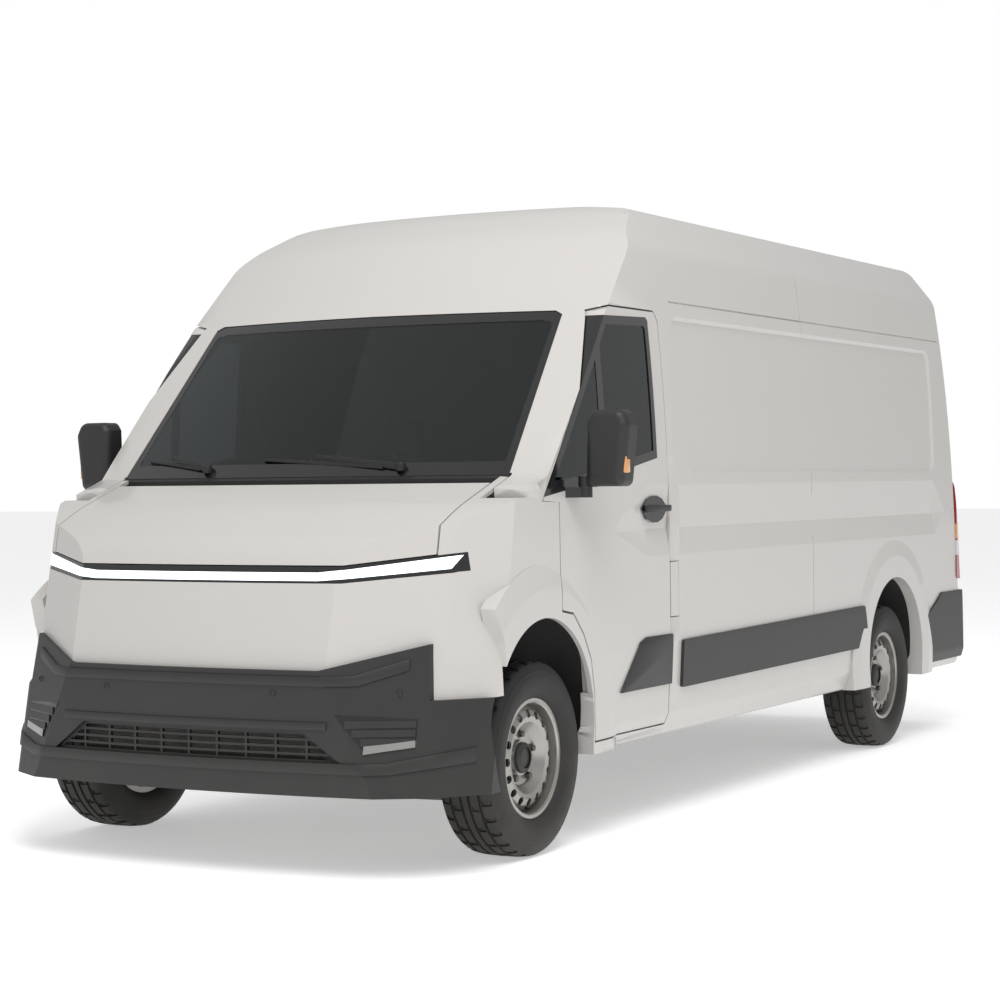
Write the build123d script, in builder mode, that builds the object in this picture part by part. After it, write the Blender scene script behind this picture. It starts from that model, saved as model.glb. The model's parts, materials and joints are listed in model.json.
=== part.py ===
from build123d import *
import os
from functools import lru_cache

# Cargo van with a long wheelbase and a high roof, in millimetres.
# X runs across the van with the driver's side (left) positive, the front faces -Y and Z is up.
# Stations along the van are given as u, the distance behind the front axle.

# Overall sizes
length = 5730
front_overhang = 780
wheelbase = 3750
half_width = 1020
roof_height = 2520
sill_height = 330
front_axle_y = front_overhang - length / 2
wall = 45
skin = 14
seam = 4
groove_depth = 8
fit = 0.3
running_fit = 0.08
door_gap = 7

# Wheels and tyres
tyre_radius = 356
tyre_width = 235
track_half = 870
bead_radius = 205
rim_flange_radius = 222
rim_half_width = 92
spindle_radius = 25
front_arch_u = -15
front_arch_z = 465
rear_arch_u = 3765
rear_arch_z = 452
arch_radius = 398
liner_radius = 415
front_liner_radius = 430
front_liner_u = -5
liner_thickness = 8
flare_reach = 600
flare_proud = 10
flare_tilt = 1.5
kingpin_x = 825
kingpin_z = 215
kingpin_lean = 0.2

# Front of the body, as heights and stations
nose_u = -756
bumper_top = 714
bumper_side_top = 610
bumper_proud = 24
bumper_bottom = 285
light_bar_low = 1009
light_bar_high = 1067
bonnet_lip_u = -668
bonnet_lip_z = 1130
screen_base_u = -87
screen_base_z = 1375
screen_top_u = 474
screen_top_z = 2005
roof_cap_u = 1162
plan_centre_u = 4000
corner_lean = 88 / 416
cowl_depth = 70
bonnet_half_width = 838

# Doors and load space
door_front_u = 124
door_rear_u = 1070
door_bottom = 380
door_top = 2022
belt_z = 1283
pillar_rear_u = 1170
side_split_u = 2650
rear_seam_u = 4640
cant_z = 2308
load_floor = 650
floor_thickness = 40
rear_lean = 0.131
rear_base_u = 4925
rear_door_half = 876
rear_door_bottom = 622
rear_door_top = 2300
rear_hinge_proud = 22
rear_hinge_x = 890
door_hinge_u = 175
door_hinge_inset = 18
hinge_heights = (950, 1215)
rear_barrel_radius = 9
barrel_radius = 6
bonnet_hinge_x = 700
bonnet_hinge_u = -75
bonnet_hinge_z = 1325
bonnet_barrel = 8

# Fuel flap
flap_low = 806
flap_high = 1024
flap_front = 1080
flap_rear = 1152
flap_thickness = 5
flap_hinge_u = 1138
flap_hinge_x = half_width - 10
flap_barrel = 4
flap_middle = (flap_low + flap_high) / 2


def at(u):
    """Y of a station u behind the front axle."""
    return front_axle_y + u


def save(block, label):
    block.part.label = label
    export_step(block.part, f"parts/{label}.step")


os.makedirs("parts", exist_ok=True)


# Body forms: the cross-section tube, the nose and windscreen turned about a far upright axis,
# the raked plan of the front corners and the leaning rear end. All four meet in the body.

def tube(inset):
    with BuildPart() as form:
        with BuildSketch(Plane.XZ) as section:
            with BuildLine():
                low = FilletPolyline((half_width - 55, sill_height), (half_width - 14, 420),
                                     (half_width, 700), (half_width, 1050), radius=[60, 300])
                high = TangentArc(low @ 1, (half_width - 80, 2280), tangent=(0, 1))
                Line(high @ 1, (800, roof_height - 56))
                mirror(about=Plane.YZ)
                ThreePointArc((800, roof_height - 56), (0, roof_height), (-800, roof_height - 56))
                Line((half_width - 55, sill_height), (55 - half_width, sill_height))
            make_face()
            fillet([v for v in section.vertices() if 2200 < v.Y < 2500], radius=120)
            fillet([v for v in section.vertices() if v.Y < sill_height + 5], radius=25)
            if inset:
                offset(amount=-inset, kind=Kind.INTERSECTION)
        extrude(amount=3200, both=True)
    return form.part


def nose(inset):
    with BuildPart() as form:
        with BuildSketch(Plane.YZ):
            with BuildLine():
                profile = FilletPolyline(
                    (at(nose_u), 100), (at(nose_u), bumper_top), (at(bonnet_lip_u), bonnet_lip_z),
                    (at(-400), 1262), (at(screen_base_u), screen_base_z),
                    (at(screen_top_u), screen_top_z), (at(800), 2330), (at(1162), roof_height - 20),
                    (at(1800), roof_height + 2), (at(plan_centre_u), roof_height + 2),
                    radius=[60, 200, 900, 12, 1500, 600, 900, 2000])
                Polyline(profile @ 1, (at(plan_centre_u), 100), profile @ 0)
            make_face()
            if inset:
                offset(amount=-inset, kind=Kind.INTERSECTION)
        revolve(axis=Axis((0, at(plan_centre_u - inset), 0), (0, 0, 1)))
    return form.part


def corners(inset):
    base = 100
    shift = (base - bumper_top) * corner_lean
    with BuildPart() as form:
        with BuildSketch(Plane.XY.offset(base)):
            with BuildLine():
                FilletPolyline(
                    (1075, 3400), (1075, at(300) + shift), (1045, at(-300) + shift),
                    (880, at(-517) + shift), (0, at(-1069) + shift - inset),
                    (-880, at(-517) + shift), (-1045, at(-300) + shift),
                    (-1075, at(300) + shift), (-1075, 3400),
                    radius=[600, 220, 120, 30, 120, 220, 600])
                Line((1075, 3400), (-1075, 3400))
            make_face()
            if inset:
                offset(amount=-inset, kind=Kind.INTERSECTION)
        extrude(amount=2600, dir=(0, corner_lean, 1))
    return form.part


def tail(inset):
    base = 100
    with BuildPart() as form:
        with BuildSketch(Plane.XY.offset(base)) as plan:
            with Locations((0, at(rear_base_u) - 3500 - (base - sill_height) * rear_lean)):
                Rectangle(2 * (half_width + 6), 7000)
            fillet(plan.vertices().group_by(Axis.Y)[-1], radius=110)
            if inset:
                offset(amount=-inset, kind=Kind.INTERSECTION)
        extrude(amount=2600, dir=(0, -rear_lean, 1))
    return form.part


@lru_cache(maxsize=None)
def shell(inset):
    """Outer surface of the whole body, moved inwards by inset."""
    return ((nose(inset) & corners(inset)) & tube(inset)) & tail(inset)


def side_block(points, low_x, high_x):
    """A block with an outline given as (u, z) seen from the side."""
    with BuildPart() as block:
        with BuildSketch(Plane.YZ.offset(low_x)):
            with BuildLine():
                Polyline([(at(u), z) for u, z in points], close=True)
            make_face()
        extrude(amount=high_x - low_x)
    return block.part


def front_block(points, low_u, high_u):
    """A block with an outline given as (x, z) seen from the front."""
    with BuildPart() as block:
        with BuildSketch(Plane.XZ.offset(-at(high_u))):
            with BuildLine():
                Polyline(points, close=True)
            make_face()
        extrude(amount=high_u - low_u)
    return block.part


def mirrored(points):
    """An outline on the right of the middle, joined to its mirror image."""
    return points + [(-x, z) for x, z in reversed(points) if x]


def box(x0, x1, u0, u1, z0, z1):
    with BuildPart() as block:
        with Locations(((x0 + x1) / 2, at((u0 + u1) / 2), (z0 + z1) / 2)):
            Box(x1 - x0, u1 - u0, z1 - z0)
    return block.part


def drum(radius, x0, x1, u, z):
    """A round bar along X."""
    with BuildPart() as bar:
        with BuildSketch(Plane.YZ.offset(x0)):
            with Locations((at(u), z)):
                Circle(radius)
        extrude(amount=x1 - x0)
    return bar.part


def post(radius, x, u, z0, z1):
    """A round bar along Z."""
    with BuildPart() as bar:
        with BuildSketch(Plane.XY.offset(z0)):
            with Locations((x, at(u))):
                Circle(radius)
        extrude(amount=z1 - z0)
    return bar.part


def flipped(part):
    """The same piece on the other side of the van."""
    return mirror(part, about=Plane.YZ, mode=Mode.PRIVATE)


def flare(u, z, tilt, sign):
    """Raised round a wheel arch: a flat band and a cone that runs out into the skin."""
    centre = Plane(origin=(0, at(u), z), x_dir=(1, 0, 0), z_dir=(0, -1, 0)).rotated((0, 0, sign * tilt))
    with BuildPart() as form:
        with BuildSketch(centre):
            with BuildLine():
                Polyline((sign * 960, 0), (sign * (half_width + flare_proud), 0),
                         (sign * (half_width + flare_proud), flare_reach - 95),
                         (sign * (half_width - 2), flare_reach), (sign * 960, flare_reach), close=True)
            make_face()
        revolve(axis=Axis(centre.origin, centre.x_dir))
        add(box(-1200, 1200, u - 700, u + 700, -300, sill_height), mode=Mode.SUBTRACT)
    return form.part


# Doors' outline and the black window area in it, seen from the side
door_outline = [
    (door_front_u, 1276), (door_front_u, 884), (215, 870), (300, 790), (365, 690), (393, 560),
    (393, door_bottom), (door_rear_u, door_bottom), (door_rear_u, 1985), (1040, door_top),
    (640, door_top), (600, 2004), (-4, belt_z)]
frame_outline = [(-60, 1288), (-60, 1400), (500, 1984), (594, 1986), (966, 1998), (982, 1982), (982, 1440), (300, 1334)]
glass_outline = [(92, 1352), (604, 1952), (938, 1962), (952, 1950), (952, 1470), (300, 1372)]
bumper_outline = [
    (530, bumper_top), (855, 800), (872, bumper_side_top),
    (1080, bumper_side_top), (1080, bumper_bottom)]
light_outline = [(0, light_bar_low), (570, light_bar_low), (960, 1050), (975, 1112), (960, 1117),
                 (570, light_bar_high), (0, light_bar_high)]


# Whole outer wall: skin to inner face, open below, with the arches cut and the fixed seams sunk
outside = shell(0)
inside = shell(wall)

with BuildPart() as walls:
    add(outside)
    for sign in (1, -1):
        add(flare(front_arch_u, front_arch_z, flare_tilt, sign))
        add(flare(rear_arch_u, rear_arch_z, 0, sign))
    add(inside, mode=Mode.SUBTRACT)
    add(box(-half_width + wall + 40, half_width - wall - 40, -1200, 5200, 0, 460),
        mode=Mode.SUBTRACT)
    for u, z in ((front_arch_u, front_arch_z), (rear_arch_u, rear_arch_z)):
        add(drum(arch_radius, -1200, 1200, u, z), mode=Mode.SUBTRACT)
        add(box(-1200, 1200, u - arch_radius + 8, u + arch_radius - 8, 0, z), mode=Mode.SUBTRACT)

# Areas that split the wall into its panels
door_block = side_block(door_outline, 700, 1200)
frame_block = side_block(frame_outline, 700, 1200)
glass_block = side_block(glass_outline, 700, 1200)
door_hole_outline = [
    (door_front_u - door_gap, 1276), (door_front_u - door_gap, 877), (211, 862), (295, 783),
    (359, 685), (386, 558), (386, door_bottom - door_gap), (door_rear_u + door_gap, door_bottom - door_gap),
    (door_rear_u + door_gap, 1990), (1044, door_top + door_gap), (637, door_top + door_gap),
    (594, 2010), (-14, belt_z - 2)]
door_hole = side_block(door_hole_outline, 700, 1200)
rear_zone = box(-1200, 1200, rear_seam_u, 5300, 200, 2700)
screen_outline = mirrored([(0, screen_base_z + 4), (872, screen_base_z + 4), (812, 1994), (780, 2010), (0, 2014)])
screen_block = front_block(screen_outline, -400, 900)
cowl_reach = plan_centre_u - screen_base_u + cowl_depth
with BuildPart() as bonnet_area:
    with BuildSketch(Plane.XY.offset(900)):
        with Locations((0, at(-600))):
            Rectangle(2 * bonnet_half_width, 1400)
        with Locations((0, at(plan_centre_u))):
            Circle(cowl_reach, mode=Mode.SUBTRACT)
    extrude(amount=700)
with BuildPart() as bonnet_hole_area:
    with BuildSketch(Plane.XY.offset(900)):
        with Locations((0, at(-600))):
            Rectangle(2 * (bonnet_half_width + door_gap - 1), 1400)
        with Locations((0, at(plan_centre_u))):
            Circle(cowl_reach - 1, mode=Mode.SUBTRACT)
    extrude(amount=700)
light_block = front_block(mirrored(light_outline[1:]), -900, -380)
above_light = front_block([(-1200, 1150), (-990, 1135), (-960, 1121), (-570, light_bar_high + seam),
                           (570, light_bar_high + seam), (960, 1121), (990, 1135), (1200, 1150),
                           (1200, 1700), (-1200, 1700)], -900, 300)
below_light = front_block([(-1200, 1100), (-1200, 200), (1200, 200), (1200, 1100), (962, 1048),
                           (570, light_bar_low), (-570, light_bar_low), (-962, 1048)], -1000, -280)
wing_seam = side_block([(-1300, 1060), (-450, 1060), (-420, 1040), (-387, 914), (-340, 793),
                        (-300, 560), (-300, 200), (-1300, 200)], -1200, 1200)
bumper_block = front_block(mirrored(bumper_outline), -1100, -360)

# Gooseneck hinges of the front doors, in pockets behind the skin
hinge_x = half_width - door_hinge_inset
pocket_half = 42


def hinge_arm(height):
    """Fixed arm from the door post to the hinge pin."""
    with BuildPart() as arm:
        with BuildSketch(Plane.XY.offset(height - 34)):
            with BuildLine():
                Polyline((930, at(96)), (948, at(96)), (948, at(door_hinge_u - 6)),
                         (hinge_x, at(door_hinge_u - 6)), (hinge_x, at(door_hinge_u + 6)),
                         (930, at(door_hinge_u + 6)), close=True)
            make_face()
            with Locations((hinge_x, at(door_hinge_u))):
                Circle(barrel_radius)
        extrude(amount=34)
    return arm.part


def hinge_leaf(height):
    """Moving leaf from the hinge pin to the back of the door skin."""
    with BuildPart() as leaf:
        with BuildSketch(Plane.XY.offset(height + fit)):
            with BuildLine():
                Polyline((hinge_x - 5, at(door_hinge_u)), (hinge_x + 5, at(door_hinge_u)),
                         (hinge_x + 5, at(240)), (hinge_x - 5, at(240)), close=True)
            make_face()
            with Locations((hinge_x, at(door_hinge_u))):
                Circle(barrel_radius)
        extrude(amount=34)
    return leaf.part


with BuildPart() as cab_shell:
    add(walls.part)
    add(side_block([(-118, 1296), (400, 1296), (400, 560), (374, 560), (374, 200),
                    (pillar_rear_u, 200), (pillar_rear_u, 2700), (400, 2700), (-118, 1500)],
                   -1200, 1200), mode=Mode.INTERSECT)
    add(door_hole, mode=Mode.SUBTRACT)
    add(flipped(door_hole), mode=Mode.SUBTRACT)
    add(screen_block, mode=Mode.SUBTRACT)
    add(box(-880, 880, -300, 110, 1200, screen_base_z + 10), mode=Mode.SUBTRACT)
    for sign in (1, -1):
        near, far = sorted((sign * 900, sign * 990))
        add(box(near, far, -60, 108, 897, 1274))
        add(box(near, far, -60, -20, 1270, 1325))
        for height in hinge_heights:
            arm = hinge_arm(height)
            add(arm if sign > 0 else flipped(arm))
    add(box(flap_hinge_x - 22, 1200, flap_front - 4, flap_rear + 6, flap_low - 4, flap_high + 4),
        mode=Mode.SUBTRACT)
    add(post(flap_barrel, flap_hinge_x, flap_hinge_u, flap_middle - 40, flap_middle))
    with BuildSketch(Plane.XY.offset(flap_middle - 40)):
        with BuildLine():
            Polyline((flap_hinge_x - 3, at(flap_hinge_u)), (flap_hinge_x + 3, at(flap_hinge_u)),
                     (flap_hinge_x - 14, at(flap_hinge_u - 24)), (flap_hinge_x - 25, at(flap_hinge_u - 24)), close=True)
        make_face()
    extrude(amount=40)
cab_shell.part = Part(cab_shell.part.solids().sort_by(SortBy.VOLUME)[-1].wrapped)
save(cab_shell, "cab_shell")

with BuildPart() as windscreen:
    add(shell(4))
    add(shell(10), mode=Mode.SUBTRACT)
    add(screen_block, mode=Mode.INTERSECT)
save(windscreen, "windscreen")

with BuildPart() as bonnet:
    add(shell(0))
    add(shell(26), mode=Mode.SUBTRACT)
    add(bonnet_area, mode=Mode.INTERSECT)
    add(above_light, mode=Mode.INTERSECT)
    for sign in (1, -1):
        near, far = sorted((sign * (bonnet_hinge_x + fit), sign * (bonnet_hinge_x + 12)))
        add(drum(bonnet_barrel, near, far, bonnet_hinge_u, bonnet_hinge_z))
        add(box(near, far, bonnet_hinge_u - 60, bonnet_hinge_u, bonnet_hinge_z - bonnet_barrel,
                bonnet_hinge_z + bonnet_barrel))
save(bonnet, "bonnet")

with BuildPart() as front_wings:
    add(outside)
    for sign in (1, -1):
        add(flare(front_arch_u, front_arch_z, flare_tilt, sign))
    add(shell(skin), mode=Mode.SUBTRACT)
    add(box(-1200, 1200, -1300, 387, 300, 1296) + box(-876, 876, -1300, -6, 1200, 1400), mode=Mode.INTERSECT)
    add(box(-1200, 1200, 300, 500, 0, 560), mode=Mode.SUBTRACT)
    add(box(1 - bonnet_half_width - door_gap, bonnet_half_width + door_gap - 1, -200, 400, 1200, 1400),
        mode=Mode.SUBTRACT)
    add(door_hole, mode=Mode.SUBTRACT)
    add(flipped(door_hole), mode=Mode.SUBTRACT)
    add(drum(arch_radius, -1200, 1200, front_arch_u, front_arch_z), mode=Mode.SUBTRACT)
    add(wing_seam, mode=Mode.SUBTRACT)
    add(bonnet_hole_area, mode=Mode.SUBTRACT)
    add(light_block, mode=Mode.SUBTRACT)
    add(bumper_block, mode=Mode.SUBTRACT)
    add(box(-800, 800, -1300, 200, 200, 1500), mode=Mode.SUBTRACT)
save(front_wings, "front_wings")

with BuildPart() as front_panel:
    add(outside)
    add(shell(26), mode=Mode.SUBTRACT)
    add(below_light, mode=Mode.INTERSECT)
    add(wing_seam, mode=Mode.INTERSECT)
    add(box(-1200, 1200, -1300, 0, bumper_side_top, 1200), mode=Mode.INTERSECT)
    add(bumper_block, mode=Mode.SUBTRACT)
    add(light_block, mode=Mode.SUBTRACT)
save(front_panel, "front_panel")

with BuildPart() as light_bar:
    add(shell(1))
    add(shell(40), mode=Mode.SUBTRACT)
    add(light_block, mode=Mode.INTERSECT)
save(light_bar, "light_bar")


def bumper_form(inset):
    """The front of the body moved inwards by inset, without its sides and roof."""
    return nose(inset) & corners(inset)


grille_opening = [(620, 400), (473, 505)]
grille_block = front_block(mirrored(grille_opening), -1100, -500)
bumper_face = bumper_form(-bumper_proud)
with BuildPart() as front_bumper:
    add(bumper_face)
    add(bumper_form(16), mode=Mode.SUBTRACT)
    add(bumper_block, mode=Mode.INTERSECT)
    add(box(-1036, 1036, -1300, -300, 200, 900), mode=Mode.INTERSECT)
    add(drum(arch_radius + 2, -1200, 1200, front_arch_u, front_arch_z), mode=Mode.SUBTRACT)
    add(grille_block, mode=Mode.SUBTRACT)
save(front_bumper, "front_bumper")

with BuildPart() as lower_grille:
    with BuildSketch(Plane.XZ.offset(-at(-500))) as grille_face:
        with BuildLine():
            Polyline(mirrored(grille_opening), close=True)
        make_face()
        offset(amount=-10, kind=Kind.INTERSECTION, mode=Mode.SUBTRACT)
        with Locations(*[(0, z) for z in (428, 453, 478)]):
            Rectangle(1200, 9)
        with Locations(*[(x, 452) for x in range(-480, 481, 120)]):
            Rectangle(8, 104)
        with BuildLine():
            Polyline(mirrored(grille_opening), close=True)
        make_face(mode=Mode.INTERSECT)
    extrude(amount=600)
    add(bumper_form(-8), mode=Mode.INTERSECT)
    add(bumper_form(6), mode=Mode.SUBTRACT)
save(lower_grille, "lower_grille")



def screen_side(reach, low_z, high_z):
    """Upright block behind an arc at a given reach from the plan centre."""
    with BuildPart() as block:
        with BuildSketch(Plane.XY.offset(low_z)):
            with Locations((0, at(plan_centre_u))):
                Circle(reach)
            with Locations((0, at(-50))):
                Rectangle(2 * bonnet_half_width + 66, 400, mode=Mode.INTERSECT)
        extrude(amount=high_z - low_z)
    return block.part


screen_reach = plan_centre_u - screen_base_u
with BuildPart() as cowl:
    add(shell(50))
    add(shell(62), mode=Mode.SUBTRACT)
    add(screen_side(cowl_reach - 2, 1200, 1325), mode=Mode.INTERSECT)
    add(box(-bonnet_half_width - 4, bonnet_half_width + 4, -400, 200, 1200, 1325), mode=Mode.INTERSECT)
    add(((shell(5) - shell(62)) & screen_side(screen_reach + 6, 1300, screen_base_z + 4)))
    for sign in (1, -1):
        near, far = sorted((sign * (bonnet_hinge_x - 12), sign * bonnet_hinge_x))
        add(drum(bonnet_barrel, near, far, bonnet_hinge_u, bonnet_hinge_z))
        add(box(near, far, bonnet_hinge_u - bonnet_barrel, bonnet_hinge_u + bonnet_barrel, bonnet_hinge_z - 30,
                bonnet_hinge_z))
save(cowl, "cowl")

# Load space: sides, sliding door, roof and rear end
sliding_outline = [(1178, 372), (2646, 372), (2646, 2000), (2606, 2040), (1218, 2040), (1178, 2000)]
sliding_block = side_block(sliding_outline, -1200, -700)
with BuildPart() as cargo_side_left:
    add(walls.part)
    add(box(500, 1200, pillar_rear_u, rear_seam_u, 200, cant_z), mode=Mode.INTERSECT)
save(cargo_side_left, "cargo_side_left")
with BuildPart() as cargo_side_right:
    add(walls.part)
    add(box(-1200, -500, pillar_rear_u, rear_seam_u, 200, cant_z), mode=Mode.INTERSECT)
    add(sliding_block, mode=Mode.SUBTRACT)
save(cargo_side_right, "cargo_side_right")
with BuildPart() as sliding_door:
    add(walls.part)
    add(sliding_block, mode=Mode.INTERSECT)
save(sliding_door, "sliding_door")
with BuildPart() as roof_panel:
    add(walls.part)
    add(box(-1200, 1200, pillar_rear_u, rear_seam_u, cant_z, 2700), mode=Mode.INTERSECT)
save(roof_panel, "roof_panel")

rear_hole_half = rear_door_half + door_gap


def rear_face_plane(x, z):
    """Plane across the hinge axis of a rear door: x stays X, y points out of the rear face."""
    y = at(rear_base_u) - (z - sill_height) * rear_lean
    return Plane(origin=(x, y, z), x_dir=(1, 0, 0), z_dir=(0, -rear_lean, 1))


rear_hinge_heights = (760, 1400, 2080)
knuckle_length = 40


def rear_leaf(sign, height, reach, start):
    """One half of a rear hinge: its barrel and the plate that holds it, on side reach."""
    with BuildPart() as leaf:
        with BuildSketch(rear_face_plane(sign * rear_hinge_x, height).offset(start)):
            with BuildLine():
                Polyline((sign * reach * 40, 0), (sign * reach * 16, 0),
                         (0, rear_hinge_proud - rear_barrel_radius), (0, rear_hinge_proud),
                         (sign * reach * 14, rear_hinge_proud - 2), (sign * reach * 40, 8), close=True)
            make_face()
            with Locations((0, rear_hinge_proud)):
                Circle(rear_barrel_radius)
        extrude(amount=knuckle_length)
    return leaf.part


with BuildPart() as rear_frame:
    add(walls.part)
    add(rear_zone, mode=Mode.INTERSECT)
    add(box(-rear_hole_half, rear_hole_half, 4600, 5200, rear_door_bottom - door_gap,
            rear_door_top + door_gap), mode=Mode.SUBTRACT)
    for sign in (1, -1):
        for height in rear_hinge_heights:
            add(rear_leaf(sign, height, 1, 0))
save(rear_frame, "rear_frame")

for sign, side in ((1, "left"), (-1, "right")):
    with BuildPart() as rear_door:
        add(walls.part)
        near, far = sorted((sign * 3, sign * rear_door_half))
        add(box(near, far, 4660, 5200, rear_door_bottom, rear_door_top), mode=Mode.INTERSECT)
        for height in rear_hinge_heights:
            add(rear_leaf(sign, height, -1, knuckle_length + fit))
    save(rear_door, f"rear_door_{side}")

# Front doors
with BuildPart() as door:
    add(walls.part)
    add(door_block, mode=Mode.INTERSECT)
    add(frame_block, mode=Mode.SUBTRACT)
    for height in hinge_heights:
        add(box(940, hinge_x + barrel_radius + 1, 100, 232, height - pocket_half, height + pocket_half), mode=Mode.SUBTRACT)
        add(hinge_leaf(height))
with BuildPart() as door_trim:
    add(shell(2))
    add(shell(32), mode=Mode.SUBTRACT)
    add(frame_block, mode=Mode.INTERSECT)
    add(door_block, mode=Mode.INTERSECT)
    add(glass_block, mode=Mode.SUBTRACT)
with BuildPart() as door_glass:
    add(shell(6))
    add(shell(11), mode=Mode.SUBTRACT)
    add(glass_block, mode=Mode.INTERSECT)
for block, label in ((door, "door"), (door_trim, "door_trim"), (door_glass, "door_glass")):
    save(block, f"{label}_left")
    with BuildPart() as other:
        add(flipped(block.part))
    save(other, f"{label}_right")

# Mirrors: an arm fixed to the door's black corner, and a head that folds back about a pin
mirror_pin_x = 1072
mirror_pin_u = 225
mirror_half_depth = 48
mirror_low = 1292
mirror_high = 1612
arm_top = 1330

with BuildPart() as mirror_head:
    with BuildSketch(Plane.XZ.offset(-at(mirror_pin_u + mirror_half_depth))):
        with BuildLine():
            FilletPolyline((mirror_pin_x + 17, 1332), (mirror_pin_x + 168, 1332), (mirror_pin_x + 194, 1560),
                           (mirror_pin_x + 168, mirror_high), (mirror_pin_x + 44, mirror_high),
                           (mirror_pin_x + 24, 1580), close=True, radius=[16, 26, 40, 40, 30, 16])
        make_face()
    extrude(amount=2 * mirror_half_depth)
    fillet(mirror_head.faces().sort_by(Axis.Y)[0].edges(), radius=34)
    with BuildSketch(Plane.XZ.offset(-at(mirror_pin_u + mirror_half_depth + 2))):
        with BuildLine():
            FilletPolyline((mirror_pin_x + 46, 1352), (mirror_pin_x + 158, 1352), (mirror_pin_x + 178, 1560),
                           (mirror_pin_x + 158, mirror_high - 22), (mirror_pin_x + 58, mirror_high - 22),
                           (mirror_pin_x + 44, 1570), close=True, radius=18)
        make_face()
    extrude(amount=14, mode=Mode.SUBTRACT)
    with BuildSketch(Plane.XY.offset(arm_top + fit)):
        with Locations((mirror_pin_x, at(mirror_pin_u))):
            Circle(26)
        with Locations((mirror_pin_x + 20, at(mirror_pin_u))):
            Rectangle(40, 40)
    extrude(amount=40)
with BuildPart() as mirror_arm:
    with BuildSketch(Plane.XY.offset(mirror_low)):
        with Locations((mirror_pin_x, at(mirror_pin_u))):
            Circle(26)
        with BuildLine():
            Polyline((1000, at(mirror_pin_u - 54)), (1016, at(mirror_pin_u - 54)),
                     (mirror_pin_x, at(mirror_pin_u - 24)), (mirror_pin_x, at(mirror_pin_u + 24)),
                     (1016, at(mirror_pin_u + 54)), (1000, at(mirror_pin_u + 54)), close=True)
        make_face()
    extrude(amount=arm_top - mirror_low)
    add(shell(0), mode=Mode.SUBTRACT)
for sign, side in ((1, "left"), (-1, "right")):
    for block, label in ((mirror_head, "mirror"), (mirror_arm, "mirror_arm")):
        with BuildPart() as piece:
            if sign > 0:
                add(block.part)
            else:
                add(flipped(block.part))
        save(piece, f"{label}_{side}")

# Side cladding and rear bumper
with BuildPart() as side_cladding:
    add(tube(-14) - tube(-fit))
    with BuildSketch(Plane.YZ.offset(-1200)):
        with BuildLine():
            FilletPolyline((at(pillar_rear_u + 6), 515), (at(3300), 530), (at(3345), 620),
                           (at(3300), 731), (at(pillar_rear_u + 6), 706), close=True, radius=12)
        make_face()
    extrude(amount=2400, mode=Mode.INTERSECT)
    for sign in (1, -1):
        add(flare(rear_arch_u, rear_arch_z, 0, sign), mode=Mode.SUBTRACT)
save(side_cladding, "side_cladding")

rear_bumper_top = 738
with BuildPart() as rear_bumper:
    add((tube(-10) & tail(-30)) - (tube(-fit) & tail(-fit)))
    with BuildSketch(Plane.YZ.offset(-1200)):
        with BuildLine():
            FilletPolyline((at(4100), 560), (at(4300), 640), (at(4500), rear_bumper_top),
                           (at(5100), rear_bumper_top), (at(5100), 372), (at(4100), 372),
                           close=True, radius=[10, 60, 60, 5, 5, 30])
        make_face()
    extrude(amount=2400, mode=Mode.INTERSECT)
    add(drum(arch_radius + 30, -1200, 1200, rear_arch_u, rear_arch_z), mode=Mode.SUBTRACT)
    for sign in (1, -1):
        add(flare(rear_arch_u, rear_arch_z, 0, sign), mode=Mode.SUBTRACT)
    add(box(-rear_hinge_x - 30, rear_hinge_x + 30, 4400, 5200, rear_door_bottom - 14, 900), mode=Mode.SUBTRACT)
save(rear_bumper, "rear_bumper")

with BuildPart() as tail_lamps:
    add((tube(-6) & tail(-18)) - (tube(-fit) & tail(-fit)))
    with BuildSketch(Plane.YZ.offset(-1200)):
        with BuildLine():
            FilletPolyline((at(4760), 800), (at(5100), 800), (at(5100), 1345), (at(4770), 1345),
                           close=True, radius=[30, 1, 1, 60])
        make_face()
    extrude(amount=2400, mode=Mode.INTERSECT)
    add(box(-935, 935, 4500, 5300, 700, 1400), mode=Mode.SUBTRACT)
save(tail_lamps, "tail_lamps")


# Fuel flap in the left pillar, on a short hinge at its rear edge
with BuildPart() as fuel_flap:
    add(((shell(0) - shell(flap_thickness)) & box(800, 1200, flap_front, flap_rear, flap_low, flap_high)))
    add(post(flap_barrel, flap_hinge_x, flap_hinge_u, flap_middle + fit, flap_middle + 40))
    add(box(flap_hinge_x - flap_barrel, half_width - flap_thickness + 1, flap_hinge_u - 4, flap_hinge_u + 4,
            flap_middle + fit, flap_middle + 40))
save(fuel_flap, "fuel_flap")

# Floor: cab floor with toe board, load floor over the rear wheels
floor_profile = [(40, 1240), (40, 900), (60, 700), (330, 470), (1130, 470), (1130, load_floor - floor_thickness),
                 (4780, load_floor - floor_thickness), (4780, load_floor), (1100, load_floor), (1100, 510),
                 (345, 510), (90, 715), (70, 900), (70, 1240)]
# Raised flat area of the load floor, clear of the walls and the wheel housings
floor_rise = 3
load_half = 680
load_front_u = 1155
load_rear_u = 4590
# Wheel housings: station, height, inner side and radius
liners = ((front_liner_u, front_arch_z, 545, front_liner_radius), (rear_arch_u, rear_arch_z, 690, liner_radius))
with BuildPart() as floor_pan:
    add(side_block(floor_profile, -1000, 1000))
    add(shell(wall + fit), mode=Mode.INTERSECT)
    for sign in (1, -1):
        for u, z, inner, radius in liners:
            near, far = sorted((sign * inner, sign * 1010))
            add(drum(radius, near, far, u, z), mode=Mode.SUBTRACT)
        near, far = sorted((sign * 895, sign * 1010))
        add(box(near, far, 0, 260, 400, 1300), mode=Mode.SUBTRACT)
    add(box(-load_half, load_half, load_front_u, load_rear_u, load_floor - 1, load_floor + floor_rise))
save(floor_pan, "floor_pan")

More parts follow.
